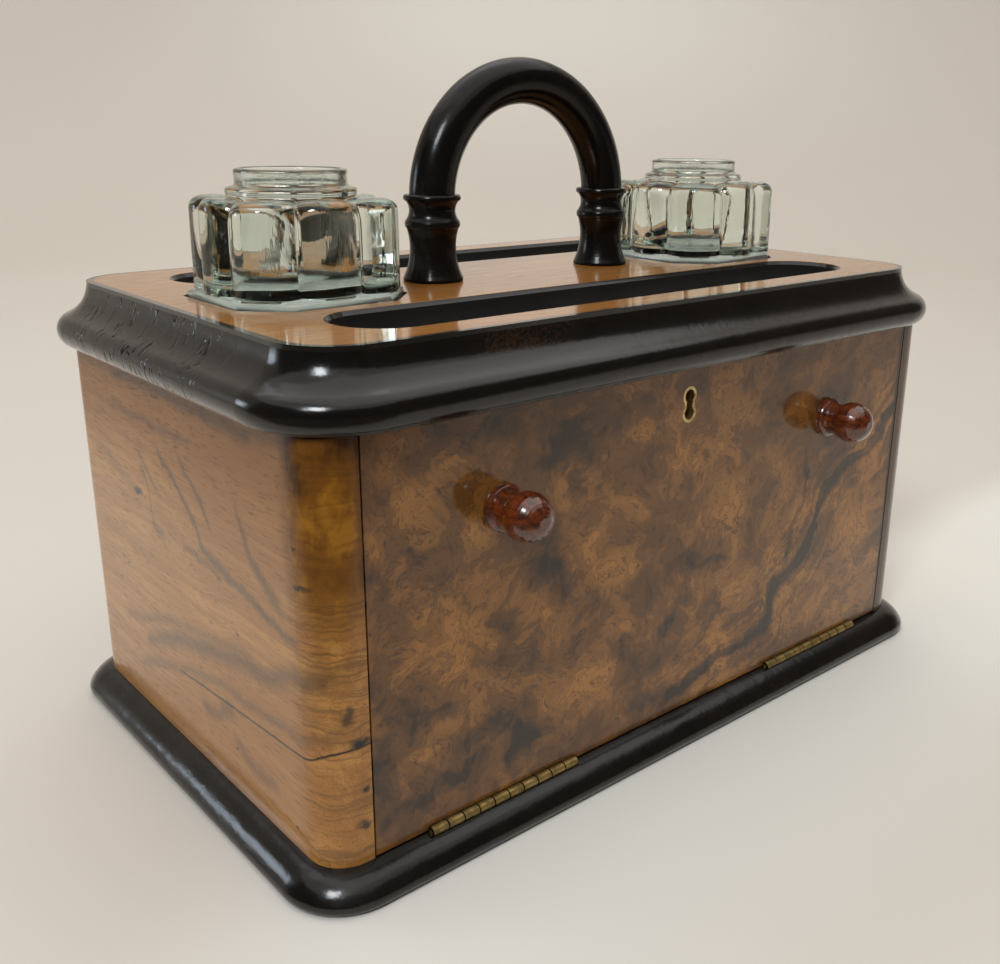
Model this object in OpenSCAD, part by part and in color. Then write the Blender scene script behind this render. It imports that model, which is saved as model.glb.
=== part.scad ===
// Desk stationery box with a carrying handle.
// A walnut carcass stands on an ebonised plinth under an ebonised moulded top, with two pen troughs and two
// glass inkwells let into the top. The front falls open on two brass butt hinges and locks at its top edge.
// +X runs along the front, the falling front faces -Y and +Z is up; the origin is under the middle.

/* [Carcass] */
// Width over the two side boards
body_w = 300; // [270:1:330]
// Depth from the front face to the back face
body_d = 180.7; // [170:0.1:200]
// Height of the carcass between plinth and top
body_h = 133.5; // [120:0.1:150]
// Radius of the upright outer corners
body_corner_r = 12.3; // [6:0.1:14]
// Thickness of the side boards
side_t = 15.2; // [14.5:0.1:18]
// Thickness of the back panel
back_t = 9; // [6:0.5:14]
// Thickness of the carcass floor
floor_t = 6; // [4:0.5:10]
// Thickness of the thin boards that line the sides and stop the flap
lining_t = 2.5; // [1.5:0.1:4]
// Thickness of each letter division
division_t = 4; // [3:0.5:6]
// Distance of each letter division from the middle
division_x = 44; // [30:1:60]
// Distance that the divisions stand back from the flap
division_setback = 14; // [4:1:30]
// Depth of the hollow cut in a division's front edge
division_hollow = 22; // [8:1:35]

/* [Plinth] */
// Thickness of the plinth board
plinth_t = 10.8; // [9:0.1:14]
// How far the plinth's nose stands out from the carcass
plinth_out = 9.7; // [8:0.1:11]
// Radius of the small round at the plinth's nose
plinth_nose_r = 3; // [2.5:0.1:4]
// Radius of the slow round that falls from the carcass to the nose
plinth_fall_r = 12.5; // [12:0.1:20]

/* [Moulded top] */
// Thickness of the ebonised top board
top_t = 21.7; // [20:0.1:26]
// Thickness of the walnut veneer on the top
veneer_t = 1.5; // [0.8:0.1:2.5]
// How far the veneered deck stops short of the carcass sides
deck_in = 3.1; // [1:0.1:5]
// Corner radius of the veneered deck
deck_corner_r = 19.7; // [16:0.1:28]
// How far the moulding's nose stands out from the carcass
nose_out = 8.5; // [7:0.1:12]
// Radius of the moulding's rounded nose
nose_r = 6; // [5:0.1:7]

/* [Pen troughs] */
// Overall length of a pen trough
trough_l = 242; // [200:1:250]
// Width of a pen trough at the deck
trough_w = 36.4; // [30:0.1:38]
// Depth of a pen trough at its middle
trough_depth = 9.5; // [7:0.5:14]
// Distance of each trough's middle line from the deck's middle line
trough_y = 55.7; // [53:0.1:58]

/* [Fittings] */
// Centre line that the handle, inkwells, knobs and lock are set out from, left of the box's own middle
middle_x = -1.2; // [-3:0.1:3]
// Distance of the handle and inkwells behind the middle of the deck
fittings_y = 0.8; // [-2:0.1:2]

/* [Handle] */
// Distance between the two turned posts
handle_span = 86; // [76:1:94]
// Diameter of the bent arch
arch_d = 16.8; // [14:0.1:17]
// Depth that the arch is let into the rim of each post
arch_sink = 2.5; // [1:0.1:3]
// Height of a turned post above the deck
post_h = 31.2; // [28:0.2:40]
// Diameter of a post at its foot
post_foot_d = 22.2; // [21:0.1:26]
// Height of the upright edge of the foot
post_foot_h = 1.2; // [0.8:0.1:2]
// Diameter of a post at its waist
post_waist_d = 17; // [16:0.1:19]
// Height of the waist
post_waist_z = 12; // [10:0.5:14]
// Diameter of a post's middle ring
post_ring_d = 20.4; // [19.5:0.1:23]
// Height of the sharp lower edge of the ring
post_ring_z = 19.6; // [18:0.2:22]
// Height of the ring above that edge
post_ring_h = 2.8; // [2.4:0.1:3.4]
// Diameter of the neck between ring and rim
post_neck_d = 17; // [16:0.1:19]
// Diameter of a post's top rim
post_rim_d = 21.2; // [20:0.1:23]
// Thickness of the rim
post_rim_t = 2.3; // [1.8:0.1:3]
// Diameter of the tenons at the ends of arch and posts
tenon_d = 9; // [7:0.1:10]
// Length of those tenons
tenon_l = 9; // [6:0.5:11]

/* [Inkwells] */
// Distance of each inkwell from the centre line of the fittings
ink_x = 99.6; // [96:0.2:103]
// Reach of an inkwell's lobes over its four flat sides
ink_side_reach = 31; // [29:0.1:31.5]
// Reach of an inkwell's lobes over its four corners
ink_corner_reach = 35.2; // [34:0.1:36]
// Distance of the grooves between the lobes from the inkwell's middle
ink_groove_reach = 28.3; // [27.5:0.1:30]
// Height of an inkwell's shoulder
ink_shoulder_h = 42.5; // [38:0.5:46]
// Radius of the domed shoulder round the corner lobes
ink_shoulder_r = 12; // [8:0.5:14]
// Height of an inkwell to its rim
ink_h = 49.5; // [48:0.5:54]
// Outer diameter of the neck
ink_neck_d = 36.8; // [35:0.2:38]
// Diameter over the bead below the neck
ink_bead_d = 43; // [41:0.5:45]
// Radius of that bead
ink_bead_r = 1.4; // [1:0.1:2]
// Diameter of the bore at the rim
ink_bore_d = 32; // [30:0.2:33]
// Diameter of the bore at its floor, a little less so that the plunger can leave the glass
ink_bore_low_d = 29; // [26:0.2:30]
// Radius between the bore and its floor
ink_floor_r = 5; // [3:0.5:8]
// Thickness of glass under the bore
ink_floor_t = 11; // [8:0.5:14]
// Width of an inkwell's foot across its sides
ink_foot_w = 62.8; // [60:0.2:66]
// Width of the foot across its cut corners
ink_foot_cut_w = 71.2; // [70:0.2:76]
// Height of the foot
ink_foot_h = 10; // [8:0.5:14]
// Gap round an inkwell's foot in its recess
recess_gap = 0.6; // [0.4:0.1:1.5]
// Depth of the recess that an inkwell stands in
recess_depth = 8; // [5:0.5:10]

/* [Falling front] */
// Thickness of the flap
flap_t = 10.5; // [10:0.1:14]
// Gap at each end of the flap
flap_side_gap = 0.6; // [0.5:0.1:1.5]
// Gap above the flap
flap_top_gap = 0.8; // [0.8:0.1:1.4]
// Gap below the flap
flap_bottom_gap = 0.6; // [0.4:0.1:0.8]
// Gap between the closed flap and the boards that stop it
stop_gap = 0.3; // [0.2:0.1:0.6]

/* [Knobs] */
// Distance between the two knobs
knob_span = 168; // [120:1:200]
// Height of the knobs above the flap's bottom edge
knob_z = 101.1; // [60:0.1:104]
// Diameter of a knob's ball
knob_d = 16; // [13:0.5:20]
// Diameter of a knob's flange
knob_flange_d = 15.5; // [14:0.1:20]
// Thickness of that flange
knob_flange_t = 3.2; // [2.6:0.1:4]
// Diameter of the neck between flange and ball
knob_neck_d = 12.2; // [11:0.2:13]
// Distance from the flap to the ball's centre
knob_reach = 12; // [11:0.5:15]
// Diameter of the peg that holds a knob in the flap
knob_peg_d = 6; // [4:0.5:8]
// Length of that peg
knob_peg_l = 8; // [6:0.5:9]

/* [Hinges] */
// Length of a hinge
hinge_l = 62; // [50:1:76]
// Distance between the middles of the two hinges
hinge_span = 168; // [140:1:176]
// Diameter of the barrel
barrel_d = 3.4; // [3.2:0.1:4]
// Diameter of the hinge pin
hinge_pin_d = 1.5; // [1.2:0.1:1.8]
// Thickness of a leaf
leaf_t = 1.2; // [0.8:0.1:1.4]
// Width of a leaf from the barrel's axis
leaf_w = 9; // [7.5:0.1:10]
// How far the barrel's axis stands in front of the flap
barrel_out = 1; // [0.6:0.1:1.4]
// Number of knuckles along a barrel
knuckles = 10; // [6:2:14]

/* [Lock] */
// Height of the keyhole's middle below the flap's top edge
key_drop = 12.5; // [11:0.5:15]
// Height of the keyhole lining
key_h = 13; // [10:0.5:14]
// Width of the keyhole lining at its round top
key_w = 6.9; // [6:0.1:9]
// Thickness of brass round the keyhole
key_rim = 1.1; // [0.8:0.1:1.6]
// Depth that the keyhole lining is let into the flap
key_depth = 2; // [1:0.1:2.5]
// Width of the lock's plate
lock_plate_w = 44; // [40:1:56]
// Width of the lock's case
lock_case_w = 34; // [30:1:38]
// Height of the lock's case
lock_case_h = 22; // [22:0.5:28]
// Thickness of the lock's case behind its plate
lock_case_t = 5.6; // [5:0.1:6]
// Thickness of the brass plate
lock_plate_t = 1.2; // [0.8:0.1:1.6]
// Width of the bolt's head
bolt_w = 12; // [8:0.5:16]
// Thickness of the bolt
bolt_t = 3; // [2.5:0.1:3.5]
// Travel of the bolt
bolt_throw = 4; // [2:0.5:4.5]

/* [Fixings] */
// Shank diameter of the small brass screws
small_screw_d = 2; // [1.6:0.1:2.4]
// Length of the small brass screws
small_screw_l = 6.5; // [5:0.5:7]
// Shank diameter of the plinth and handle screws
large_screw_d = 4; // [3:0.5:5]
// Length of the plinth screws
plinth_screw_l = 26; // [18:1:34]
// Length of the handle screws
handle_screw_l = 34; // [30:1:36]

/* [Hidden] */
$fn = 64;

// colours
ebony = [0.08, 0.075, 0.07];
walnut = [0.52, 0.32, 0.16];
burr = [0.42, 0.27, 0.15];
pine = [0.62, 0.45, 0.27];
brass = [0.70, 0.56, 0.28];
rosewood = [0.36, 0.10, 0.05];
glass = [0.75, 0.86, 0.80, 0.5];
steel = [0.45, 0.44, 0.42];

// small fits shared by every piece
peg_clear = 0.05;      // round a peg, tenon, pin or screw in its hole
let_in_clear = 0.1;    // round brass that is let into wood
slide_clear = 0.4;     // round the bolt
eps = 0.01;            // lets a cut run past the face that it opens

// levels
carcass_z = plinth_t;
top_z = carcass_z + body_h;
board_top_z = top_z + top_t;
deck_z = board_top_z + veneer_t;
front_y = -body_d / 2;
back_y = body_d / 2;
inner_x = body_w / 2 - side_t;

// flap
flap_w = 2 * (inner_x - flap_side_gap);
flap_z = carcass_z + flap_bottom_gap;
flap_h = top_z - flap_top_gap - flap_z;
flap_in_y = front_y + flap_t;
flap_top_z = flap_z + flap_h;
stop_y = flap_in_y + stop_gap;
inside_d = back_y - back_t - stop_y;
lining_x = inner_x - lining_t;

// moulded edge of the top: a hollow above a rounded nose, tangent where they meet
top_centre_r = deck_corner_r + deck_in;            // distance from the corner's centre to the carcass face
top_nose_x = top_centre_r + nose_out - nose_r;     // middle of the nose circle
top_nose_z = top_z + nose_r;
edge_run = deck_corner_r - top_nose_x;
edge_rise = deck_z - top_nose_z;
hollow_r = (edge_run * edge_run + edge_rise * edge_rise - nose_r * nose_r) / (2 * (nose_r - edge_run));
hollow_x = deck_corner_r + hollow_r;
meet_share = nose_r / (nose_r + hollow_r);
meet_x = top_nose_x + meet_share * (hollow_x - top_nose_x);
meet_z = top_nose_z + meet_share * (deck_z - top_nose_z);

// plinth edge: a slow round that starts at the foot of the carcass and ends tangent to the small nose
plinth_nose_x = body_corner_r + plinth_out - plinth_nose_r;
fall_dx = body_corner_r - plinth_nose_x;
fall_dz = plinth_t - plinth_nose_r;
fall_span = norm([fall_dx, fall_dz]);
fall_in = plinth_fall_r - plinth_nose_r;
fall_along = (fall_in * fall_in - plinth_fall_r * plinth_fall_r + fall_span * fall_span) / (2 * fall_span);
fall_across = sqrt(fall_in * fall_in - fall_along * fall_along);
fall_x = plinth_nose_x + (fall_along * fall_dx - fall_across * fall_dz) / fall_span;
fall_z = plinth_nose_r + (fall_along * fall_dz + fall_across * fall_dx) / fall_span;

// pen trough: a round-ended groove cut by a capsule
trough_r = (trough_w * trough_w / 4 + trough_depth * trough_depth) / (2 * trough_depth);
trough_z = deck_z + trough_r - trough_depth;

// handle
arch_r = handle_span / 2;
arch_z = deck_z + post_h - arch_sink;

// inkwell
ink_z = deck_z - recess_depth;
dome_x = ink_corner_reach + 0.5 - ink_shoulder_r;  // the shoulder's round clears the corner lobes
bore_top_r = ink_bore_d / 2;
bore_low_r = ink_bore_low_d / 2;
bore_slope = (bore_top_r - bore_low_r) / (ink_h - ink_floor_t);

// lock
key_z = flap_top_z - key_drop;
key_end_r = key_w / 2;
key_end_dz = key_h / 2 - key_end_r;
key_waist_w = key_w - 1.6;
key_hole_r = key_end_r - key_rim;
case_y = flap_in_y - lock_plate_t - lock_case_t;
case_wall = 1;
bolt_y = flap_in_y - lock_plate_t - bolt_t / 2 - slide_clear;
bolt_low = 0.2;                                    // the bolt's head stops just below the flap's top edge
bolt_shoulder = lock_plate_t + bolt_throw + slide_clear;
bolt_tail_w = 18;
bolt_window_w = 11;
key_pin_r = 1;
strike_w = 36;
strike_d = 9;
strike_pocket = 6;
strike_screw_in = 5;

// hinges
hinge_y = front_y - barrel_out;
hinge_z = carcass_z + flap_bottom_gap / 2;
leaf_gap = 0.1;                                    // half the gap between the closed leaves
barrel_clear = 0.3;
knuckle_gap = 0.15;
knuckle_l = hinge_l / knuckles;
leaf_start = barrel_d / 2 + barrel_clear;
leaf_screw_y = hinge_y + (leaf_start + leaf_w) / 2 + 0.3;
leaf_screw_step = hinge_l / 3;

function arc(cx, cy, r, a0, a1, n = 8) =
    [for (i = [0:n]) [cx + r * cos(a0 + (a1 - a0) * i / n), cy + r * sin(a0 + (a1 - a0) * i / n)]];

// points on the arc through a, b and c
function curve(a, b, c, n) =
    let (
        d = 2 * (a[0] * (b[1] - c[1]) + b[0] * (c[1] - a[1]) + c[0] * (a[1] - b[1])),
        x = ((a * a) * (b[1] - c[1]) + (b * b) * (c[1] - a[1]) + (c * c) * (a[1] - b[1])) / d,
        y = ((a * a) * (c[0] - b[0]) + (b * b) * (a[0] - c[0]) + (c * c) * (b[0] - a[0])) / d,
        r = norm([a[0] - x, a[1] - y]),
        from = atan2(a[1] - y, a[0] - x),
        way = sign((b[0] - a[0]) * (c[1] - a[1]) - (b[1] - a[1]) * (c[0] - a[0])),
        turn = (way * (atan2(c[1] - y, c[0] - x) - from) + 720) % 360
    )
    [for (i = [0:n]) [x + r * cos(from + way * turn * i / n), y + r * sin(from + way * turn * i / n)]];

// a board w by d with its upright edges rounded by r, from z up to z + h
module rounded_board(w, d, r, z, h) {
    translate([0, 0, z]) linear_extrude(h) rounded_outline(w, d, r);
}

module rounded_outline(w, d, r) {
    square([w - 2 * r, d], center = true);
    square([w, d - 2 * r], center = true);
    for (sx = [-1, 1], sy = [-1, 1])
        translate([sx * (w / 2 - r), sy * (d / 2 - r)]) circle(r);
}

// sweeps a child profile round a rectangle: the profile's x runs outwards from lines that lie
// centre_r inside the carcass faces, and its y is the height
module moulded_edge(centre_r) {
    cx = body_w / 2 - centre_r;
    cy = body_d / 2 - centre_r;
    for (sx = [-1, 1], sy = [-1, 1])
        translate([sx * cx, sy * cy, 0]) rotate([0, 0, sx > 0 ? (sy > 0 ? 0 : 270) : (sy > 0 ? 90 : 180)])
            rotate_extrude(angle = 90) children();
    for (s = [-1, 1]) {
        translate([0, s * cy, 0]) rotate([0, 0, s > 0 ? 90 : -90]) translate([0, cx, 0]) rotate([90, 0, 0])
            linear_extrude(2 * cx) children();
        translate([s * cx, 0, 0]) rotate([0, 0, s > 0 ? 0 : 180]) translate([0, cy, 0]) rotate([90, 0, 0])
            linear_extrude(2 * cy) children();
    }
}

// countersunk screw standing on its point: head flush at z = 0, shank going up by l
module screw_up(d, l) {
    head_r = 0.95 * d;
    head_h = 0.9 * (head_r - d / 2) + 0.3;
    cylinder(h = head_h, r1 = head_r, r2 = d / 2);
    cylinder(h = l, r = d / 2);
}

// the hole for that screw
module screw_hole_up(d, l) {
    head_r = 0.95 * d + peg_clear;
    head_h = 0.9 * (head_r - d / 2) + 0.3;
    translate([0, 0, -eps]) cylinder(h = head_h + eps, r1 = head_r, r2 = d / 2 + peg_clear);
    translate([0, 0, -eps]) cylinder(h = l + eps, r = d / 2 + peg_clear);
}

// ---------- carcass ----------

module plinth_profile() {
    square([body_corner_r, plinth_t]);
    square([plinth_nose_x, plinth_nose_r]);
    intersection() {
        translate([plinth_nose_x, plinth_nose_r]) circle(plinth_nose_r);
        translate([body_corner_r, 0]) square([plinth_out, plinth_t]);
    }
    intersection() {
        translate([fall_x, fall_z]) circle(plinth_fall_r, $fn = 128);
        polygon([
            [body_corner_r, plinth_nose_r], [plinth_nose_x, plinth_nose_r],
            [plinth_nose_x + (plinth_nose_x - fall_x), plinth_nose_r + (plinth_nose_r - fall_z)],
            [body_corner_r + plinth_out, plinth_t], [body_corner_r, plinth_t]
        ]);
    }
}

module plinth_screw_places() {
    for (sx = [-1, 1], y = [-body_d / 3, 0, body_d / 3])
        translate([sx * (body_w - side_t) / 2, y, 0]) children();
}

module plinth() color(ebony) difference() {
    union() {
        translate([0, 0, plinth_t / 2])
            cube([body_w - 2 * body_corner_r, body_d - 2 * body_corner_r, plinth_t], center = true);
        moulded_edge(body_corner_r) plinth_profile();
    }
    plinth_screw_places() screw_hole_up(large_screw_d, plinth_screw_l);
    hinge_places() fixed_leaf_room();
}

module floor_board() color(pine)
    translate([-inner_x, stop_y, carcass_z]) cube([2 * inner_x, inside_d, floor_t]);

module side_board(s) color(walnut) difference() {
    intersection() {
        rounded_board(body_w, body_d, body_corner_r, carcass_z, body_h);
        translate([s > 0 ? inner_x : -body_w / 2, front_y, carcass_z]) cube([side_t, body_d, body_h]);
    }
    plinth_screw_places() screw_hole_up(large_screw_d, plinth_screw_l);
}

module side_left() side_board(-1);
module side_right() side_board(1);

module back_panel() color(walnut)
    translate([-inner_x, back_y - back_t, carcass_z]) cube([2 * inner_x, back_t, body_h]);

module lining(s) color(pine)
    translate([s > 0 ? lining_x : -inner_x, stop_y, carcass_z + floor_t])
        cube([lining_t, inside_d, body_h - floor_t]);

module lining_left() lining(-1);
module lining_right() lining(1);

// a thin upright board with a hollow front edge, so that the paper behind it can be gripped
module division(s) color(pine) {
    l = inside_d - division_setback;
    h = body_h - floor_t;
    hollow = (h * h / 4 + division_hollow * division_hollow) / (2 * division_hollow);
    translate([s * division_x - division_t / 2, back_y - back_t - l, carcass_z + floor_t]) difference() {
        cube([division_t, l, h]);
        translate([-eps, division_hollow - hollow, h / 2]) rotate([0, 90, 0])
            cylinder(h = division_t + 2 * eps, r = hollow, $fn = 96);
    }
}

module division_left() division(-1);
module division_right() division(1);

// ---------- moulded top ----------

module top_profile() {
    square([top_nose_x, meet_z - top_z]);
    translate([top_nose_x, nose_r]) circle(nose_r);
    difference() {
        translate([0, meet_z - top_z - eps]) square([meet_x, board_top_z - meet_z + eps]);
        translate([hollow_x, deck_z - top_z]) circle(hollow_r);
    }
}

module trough_cuts() {
    reach = (trough_l - trough_w) / 2;
    for (s = [-1, 1]) translate([0, s * trough_y, trough_z]) {
        translate([-reach, 0, 0]) rotate([0, 90, 0]) cylinder(h = 2 * reach, r = trough_r, $fn = 96);
        for (e = [-1, 1]) translate([e * reach, 0, 0]) sphere(trough_r, $fn = 96);
    }
}

// places its children on the centre of the handle and inkwells
module fittings() translate([middle_x, fittings_y, 0]) children();

// a square with its corners cut off: an inkwell's foot, grown by gap
module foot_outline(gap) intersection() {
    square(ink_foot_w + 2 * gap, center = true);
    rotate(45) square(ink_foot_cut_w + 2 * gap, center = true);
}

module recess_cuts() fittings()
    for (s = [-1, 1]) translate([s * ink_x, 0, ink_z])
        linear_extrude(recess_depth + 1) foot_outline(recess_gap);

module post_places() fittings()
    for (s = [-1, 1]) translate([s * handle_span / 2, 0, 0]) children();

module post_socket_cuts()
    post_places() translate([0, 0, deck_z - tenon_l - 0.2])
        cylinder(h = tenon_l + 1, r = tenon_d / 2 + peg_clear);

module top_board() color(ebony) difference() {
    union() {
        translate([0, 0, top_z + top_t / 2])
            cube([body_w - 2 * top_centre_r, body_d - 2 * top_centre_r, top_t], center = true);
        translate([0, 0, top_z]) moulded_edge(top_centre_r) top_profile();
    }
    trough_cuts();
    recess_cuts();
    post_socket_cuts();
    translate([0, 0, top_z]) post_places() screw_hole_up(large_screw_d, handle_screw_l);
    strike_place() strike_cut();
}

module deck_veneer() color(walnut) difference() {
    rounded_board(body_w - 2 * deck_in, body_d - 2 * deck_in, deck_corner_r, board_top_z, veneer_t);
    trough_cuts();
    recess_cuts();
    post_socket_cuts();
}

// ---------- handle ----------

// outline of a turned post: foot, hollow waist, ring with a sharp lower edge, hollow neck and rounded rim
module post_profile() {
    foot = post_foot_d / 2;
    ring = post_ring_d / 2;
    rim = post_rim_d / 2;
    ring_top = post_ring_z + post_ring_h;
    rim_z = post_h - post_rim_t;
    polygon(concat(
        [[0, 0], [foot - 0.4, 0], [foot, 0.4]],
        curve([foot, post_foot_h], [post_waist_d / 2, post_waist_z], [ring - 0.6, post_ring_z - 0.3], 14),
        curve([ring - 0.2, post_ring_z], [ring, post_ring_z + 1.2], [ring - 0.5, ring_top - 0.2], 5),
        curve([ring - 0.7, ring_top], [post_neck_d / 2, (ring_top + rim_z) / 2], [rim - 0.9, rim_z], 9),
        curve([rim - 0.3, rim_z + 0.3], [rim, (rim_z + post_h) / 2], [rim - 0.4, post_h - 0.2], 5),
        [[rim - 0.7, post_h], [0, post_h]]
    ));
}

module handle_post(s) color(ebony) fittings() translate([s * handle_span / 2, 0, deck_z]) difference() {
    union() {
        rotate_extrude($fn = 96) post_profile();
        translate([0, 0, -tenon_l]) cylinder(h = tenon_l + eps, r = tenon_d / 2);
    }
    translate([0, 0, post_h - arch_sink]) cylinder(h = arch_sink + 1, r = arch_d / 2 + peg_clear);
    translate([0, 0, post_h - arch_sink - tenon_l - 0.2])
        cylinder(h = tenon_l + 1, r = tenon_d / 2 + peg_clear);
    translate([0, 0, top_z - deck_z]) cylinder(h = handle_screw_l + 0.2, r = large_screw_d / 2 + peg_clear);
}

module handle_post_left() handle_post(-1);
module handle_post_right() handle_post(1);

module handle_arch() color(ebony) {
    fittings() translate([0, 0, arch_z]) rotate([90, 0, 0])
        rotate_extrude(angle = 180, $fn = 96) translate([arch_r, 0]) circle(arch_d / 2);
    post_places() translate([0, 0, arch_z - tenon_l]) cylinder(h = tenon_l + eps, r = tenon_d / 2);
}

module handle_screws() color(steel)
    translate([0, 0, top_z]) post_places() screw_up(large_screw_d, handle_screw_l);

// ---------- inkwells ----------

// centre of a lobe that reaches out by reach and passes through the grooves beside it
function lobe_x(reach) = (reach * reach - ink_groove_reach * ink_groove_reach)
    / (2 * (reach - ink_groove_reach * cos(22.5)));

module ink_lobe(reach) translate([lobe_x(reach), 0]) circle(reach - lobe_x(reach));

// pressed glass: upright lobes, four over the sides and four over the corners, under one domed shoulder
module ink_body() intersection() {
    linear_extrude(ink_shoulder_h) {
        for (a = [0:90:270]) rotate(a) {
            ink_lobe(ink_side_reach);
            rotate(45) ink_lobe(ink_corner_reach);
        }
        circle(ink_neck_d / 2);
    }
    rotate_extrude() {
        square([dome_x, ink_shoulder_h]);
        square([dome_x + ink_shoulder_r, ink_shoulder_h - ink_shoulder_r]);
        translate([dome_x, ink_shoulder_h - ink_shoulder_r]) intersection() {
            circle(ink_shoulder_r);
            square(ink_shoulder_r);
        }
    }
}

module ink_bore() rotate_extrude() {
    start = ink_floor_t + ink_floor_r;
    start_r = bore_low_r + bore_slope * ink_floor_r;
    polygon([
        [0, start], [start_r, start], [bore_top_r, ink_h],
        [bore_top_r + bore_slope, ink_h + 1], [0, ink_h + 1]
    ]);
    translate([0, ink_floor_t]) square([start_r - ink_floor_r, ink_floor_r + eps]);
    intersection() {
        translate([start_r - ink_floor_r, start]) circle(ink_floor_r);
        translate([0, ink_floor_t]) square([start_r, ink_floor_r + eps]);
    }
}

module inkwell(s) color(glass) fittings() translate([s * ink_x, 0, ink_z]) difference() {
    union() {
        ink_body();
        linear_extrude(ink_foot_h) foot_outline(0);
        cylinder(h = ink_h, r = ink_neck_d / 2);
        rotate_extrude() {
            square([ink_bead_d / 2 - ink_bead_r, ink_shoulder_h + 2 * ink_bead_r]);
            translate([ink_bead_d / 2 - ink_bead_r, ink_shoulder_h + ink_bead_r]) circle(ink_bead_r);
        }
    }
    ink_bore();
}

module inkwell_left() inkwell(-1);
module inkwell_right() inkwell(1);

// ---------- falling front ----------

module knob_places()
    for (s = [-1, 1]) translate([middle_x + s * knob_span / 2, front_y, flap_z + knob_z]) children();

module flap() color(burr) difference() {
    translate([-flap_w / 2, front_y, flap_z]) cube([flap_w, flap_t, flap_h]);
    knob_places() translate([0, -eps, 0]) rotate([-90, 0, 0])
        cylinder(h = knob_peg_l + 0.2, r = knob_peg_d / 2 + peg_clear);
    lock_room();
    keyhole_cut(key_end_r, key_waist_w / 2, key_depth, 0);
    keyhole_cut(key_hole_r, key_waist_w / 2 - key_rim, flap_t - lock_plate_t, 0);
    hinge_places() moving_leaf_room();
    lock_screw_places() rotate([90, 0, 0]) screw_hole_up(small_screw_d, small_screw_l);
}

module knob_profile() {
    ball = knob_d / 2;
    flange = knob_flange_d / 2;
    flange_t = knob_flange_t;
    neck = knob_neck_d / 2;
    neck_a = 180 - asin(neck / ball);
    polygon(concat(
        [[0, 0], [flange - 0.4, 0]],
        arc(flange - 1.2, flange_t / 2, 1.2, -60, 60, 5),
        [[flange - 1.5, flange_t - 0.2], [neck + 0.3, flange_t + 0.2], [neck, flange_t + 1]],
        [for (i = [0:14]) let (a = neck_a + (14 - neck_a) * i / 14)
            [ball * sin(a), knob_reach + ball * cos(a)]],
        [[0, knob_reach + ball * cos(14)]]
    ));
}

module knob(s) color(rosewood)
    translate([middle_x + s * knob_span / 2, front_y, flap_z + knob_z]) rotate([90, 0, 0]) {
        rotate_extrude($fn = 72) knob_profile();
        translate([0, 0, -knob_peg_l]) cylinder(h = knob_peg_l + eps, r = knob_peg_d / 2);
    }

module knob_left() knob(-1);
module knob_right() knob(1);

// ---------- lock ----------

module keyhole_outline(end_r, waist_r) {
    for (s = [-1, 1]) translate([0, s * key_end_dz]) circle(end_r);
    square([2 * waist_r, 2 * key_end_dz], center = true);
}

// a keyhole-shaped prism that starts at the flap's face and runs depth into it
module keyhole_cut(end_r, waist_r, depth, start)
    translate([middle_x, front_y + depth, key_z]) rotate([90, 0, 0])
        linear_extrude(depth - start + eps) keyhole_outline(end_r, waist_r);

module keyhole_lining() color(brass)
    translate([middle_x, front_y + key_depth, key_z]) rotate([90, 0, 0])
        linear_extrude(key_depth) difference() {
        keyhole_outline(key_end_r, key_waist_w / 2);
        keyhole_outline(key_hole_r, key_waist_w / 2 - key_rim);
    }

// boxes given by their width, their y and z limits, centred on the lock
module lock_box(w, y0, y1, z0, z1)
    translate([middle_x - w / 2, y0, z0]) cube([w, y1 - y0, z1 - z0]);

module lock_room() {
    g = let_in_clear;
    top = flap_top_z + 1;
    low = flap_top_z - lock_case_h;
    lock_box(lock_plate_w + 2 * g, flap_in_y - lock_plate_t - g, flap_in_y + 1, low - 2 - g, top);
    lock_box(lock_case_w + 2 * g, case_y - g, flap_in_y + 1, low - g, top);
    lock_box(lock_plate_w + 2 * g, case_y - g, flap_in_y + 1, flap_top_z - lock_plate_t - g, top);
}

module lock_screw_places()
    for (s = [-1, 1], drop = [6, lock_case_h - 3])
        translate([middle_x + s * (lock_plate_w + lock_case_w) / 4, flap_in_y, flap_top_z - drop])
            children();

module lock_case() color(brass) {
    low = flap_top_z - lock_case_h;
    difference() {
        union() {
            lock_box(lock_plate_w, flap_in_y - lock_plate_t, flap_in_y, low - 2, flap_top_z);
            lock_box(lock_case_w, case_y, flap_in_y, low, flap_top_z);
            lock_box(lock_plate_w, case_y, flap_in_y, flap_top_z - lock_plate_t, flap_top_z);
        }
        lock_box(lock_case_w - 2 * case_wall, case_y + case_wall, flap_in_y - lock_plate_t,
            low + case_wall, flap_top_z - lock_plate_t);
        lock_box(bolt_w + 2 * slide_clear, bolt_y - bolt_t / 2 - slide_clear,
            bolt_y + bolt_t / 2 + slide_clear, flap_top_z - lock_plate_t - 1, flap_top_z + 1);
        keyhole_cut(key_hole_r, key_waist_w / 2 - key_rim, case_y + case_wall + eps - front_y, 0);
        lock_screw_places() rotate([90, 0, 0]) screw_hole_up(small_screw_d, small_screw_l);
    }
    translate([middle_x, flap_in_y - lock_plate_t + eps, key_z + key_end_dz]) rotate([90, 0, 0])
        cylinder(h = lock_case_t, r = key_pin_r);
}

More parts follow.
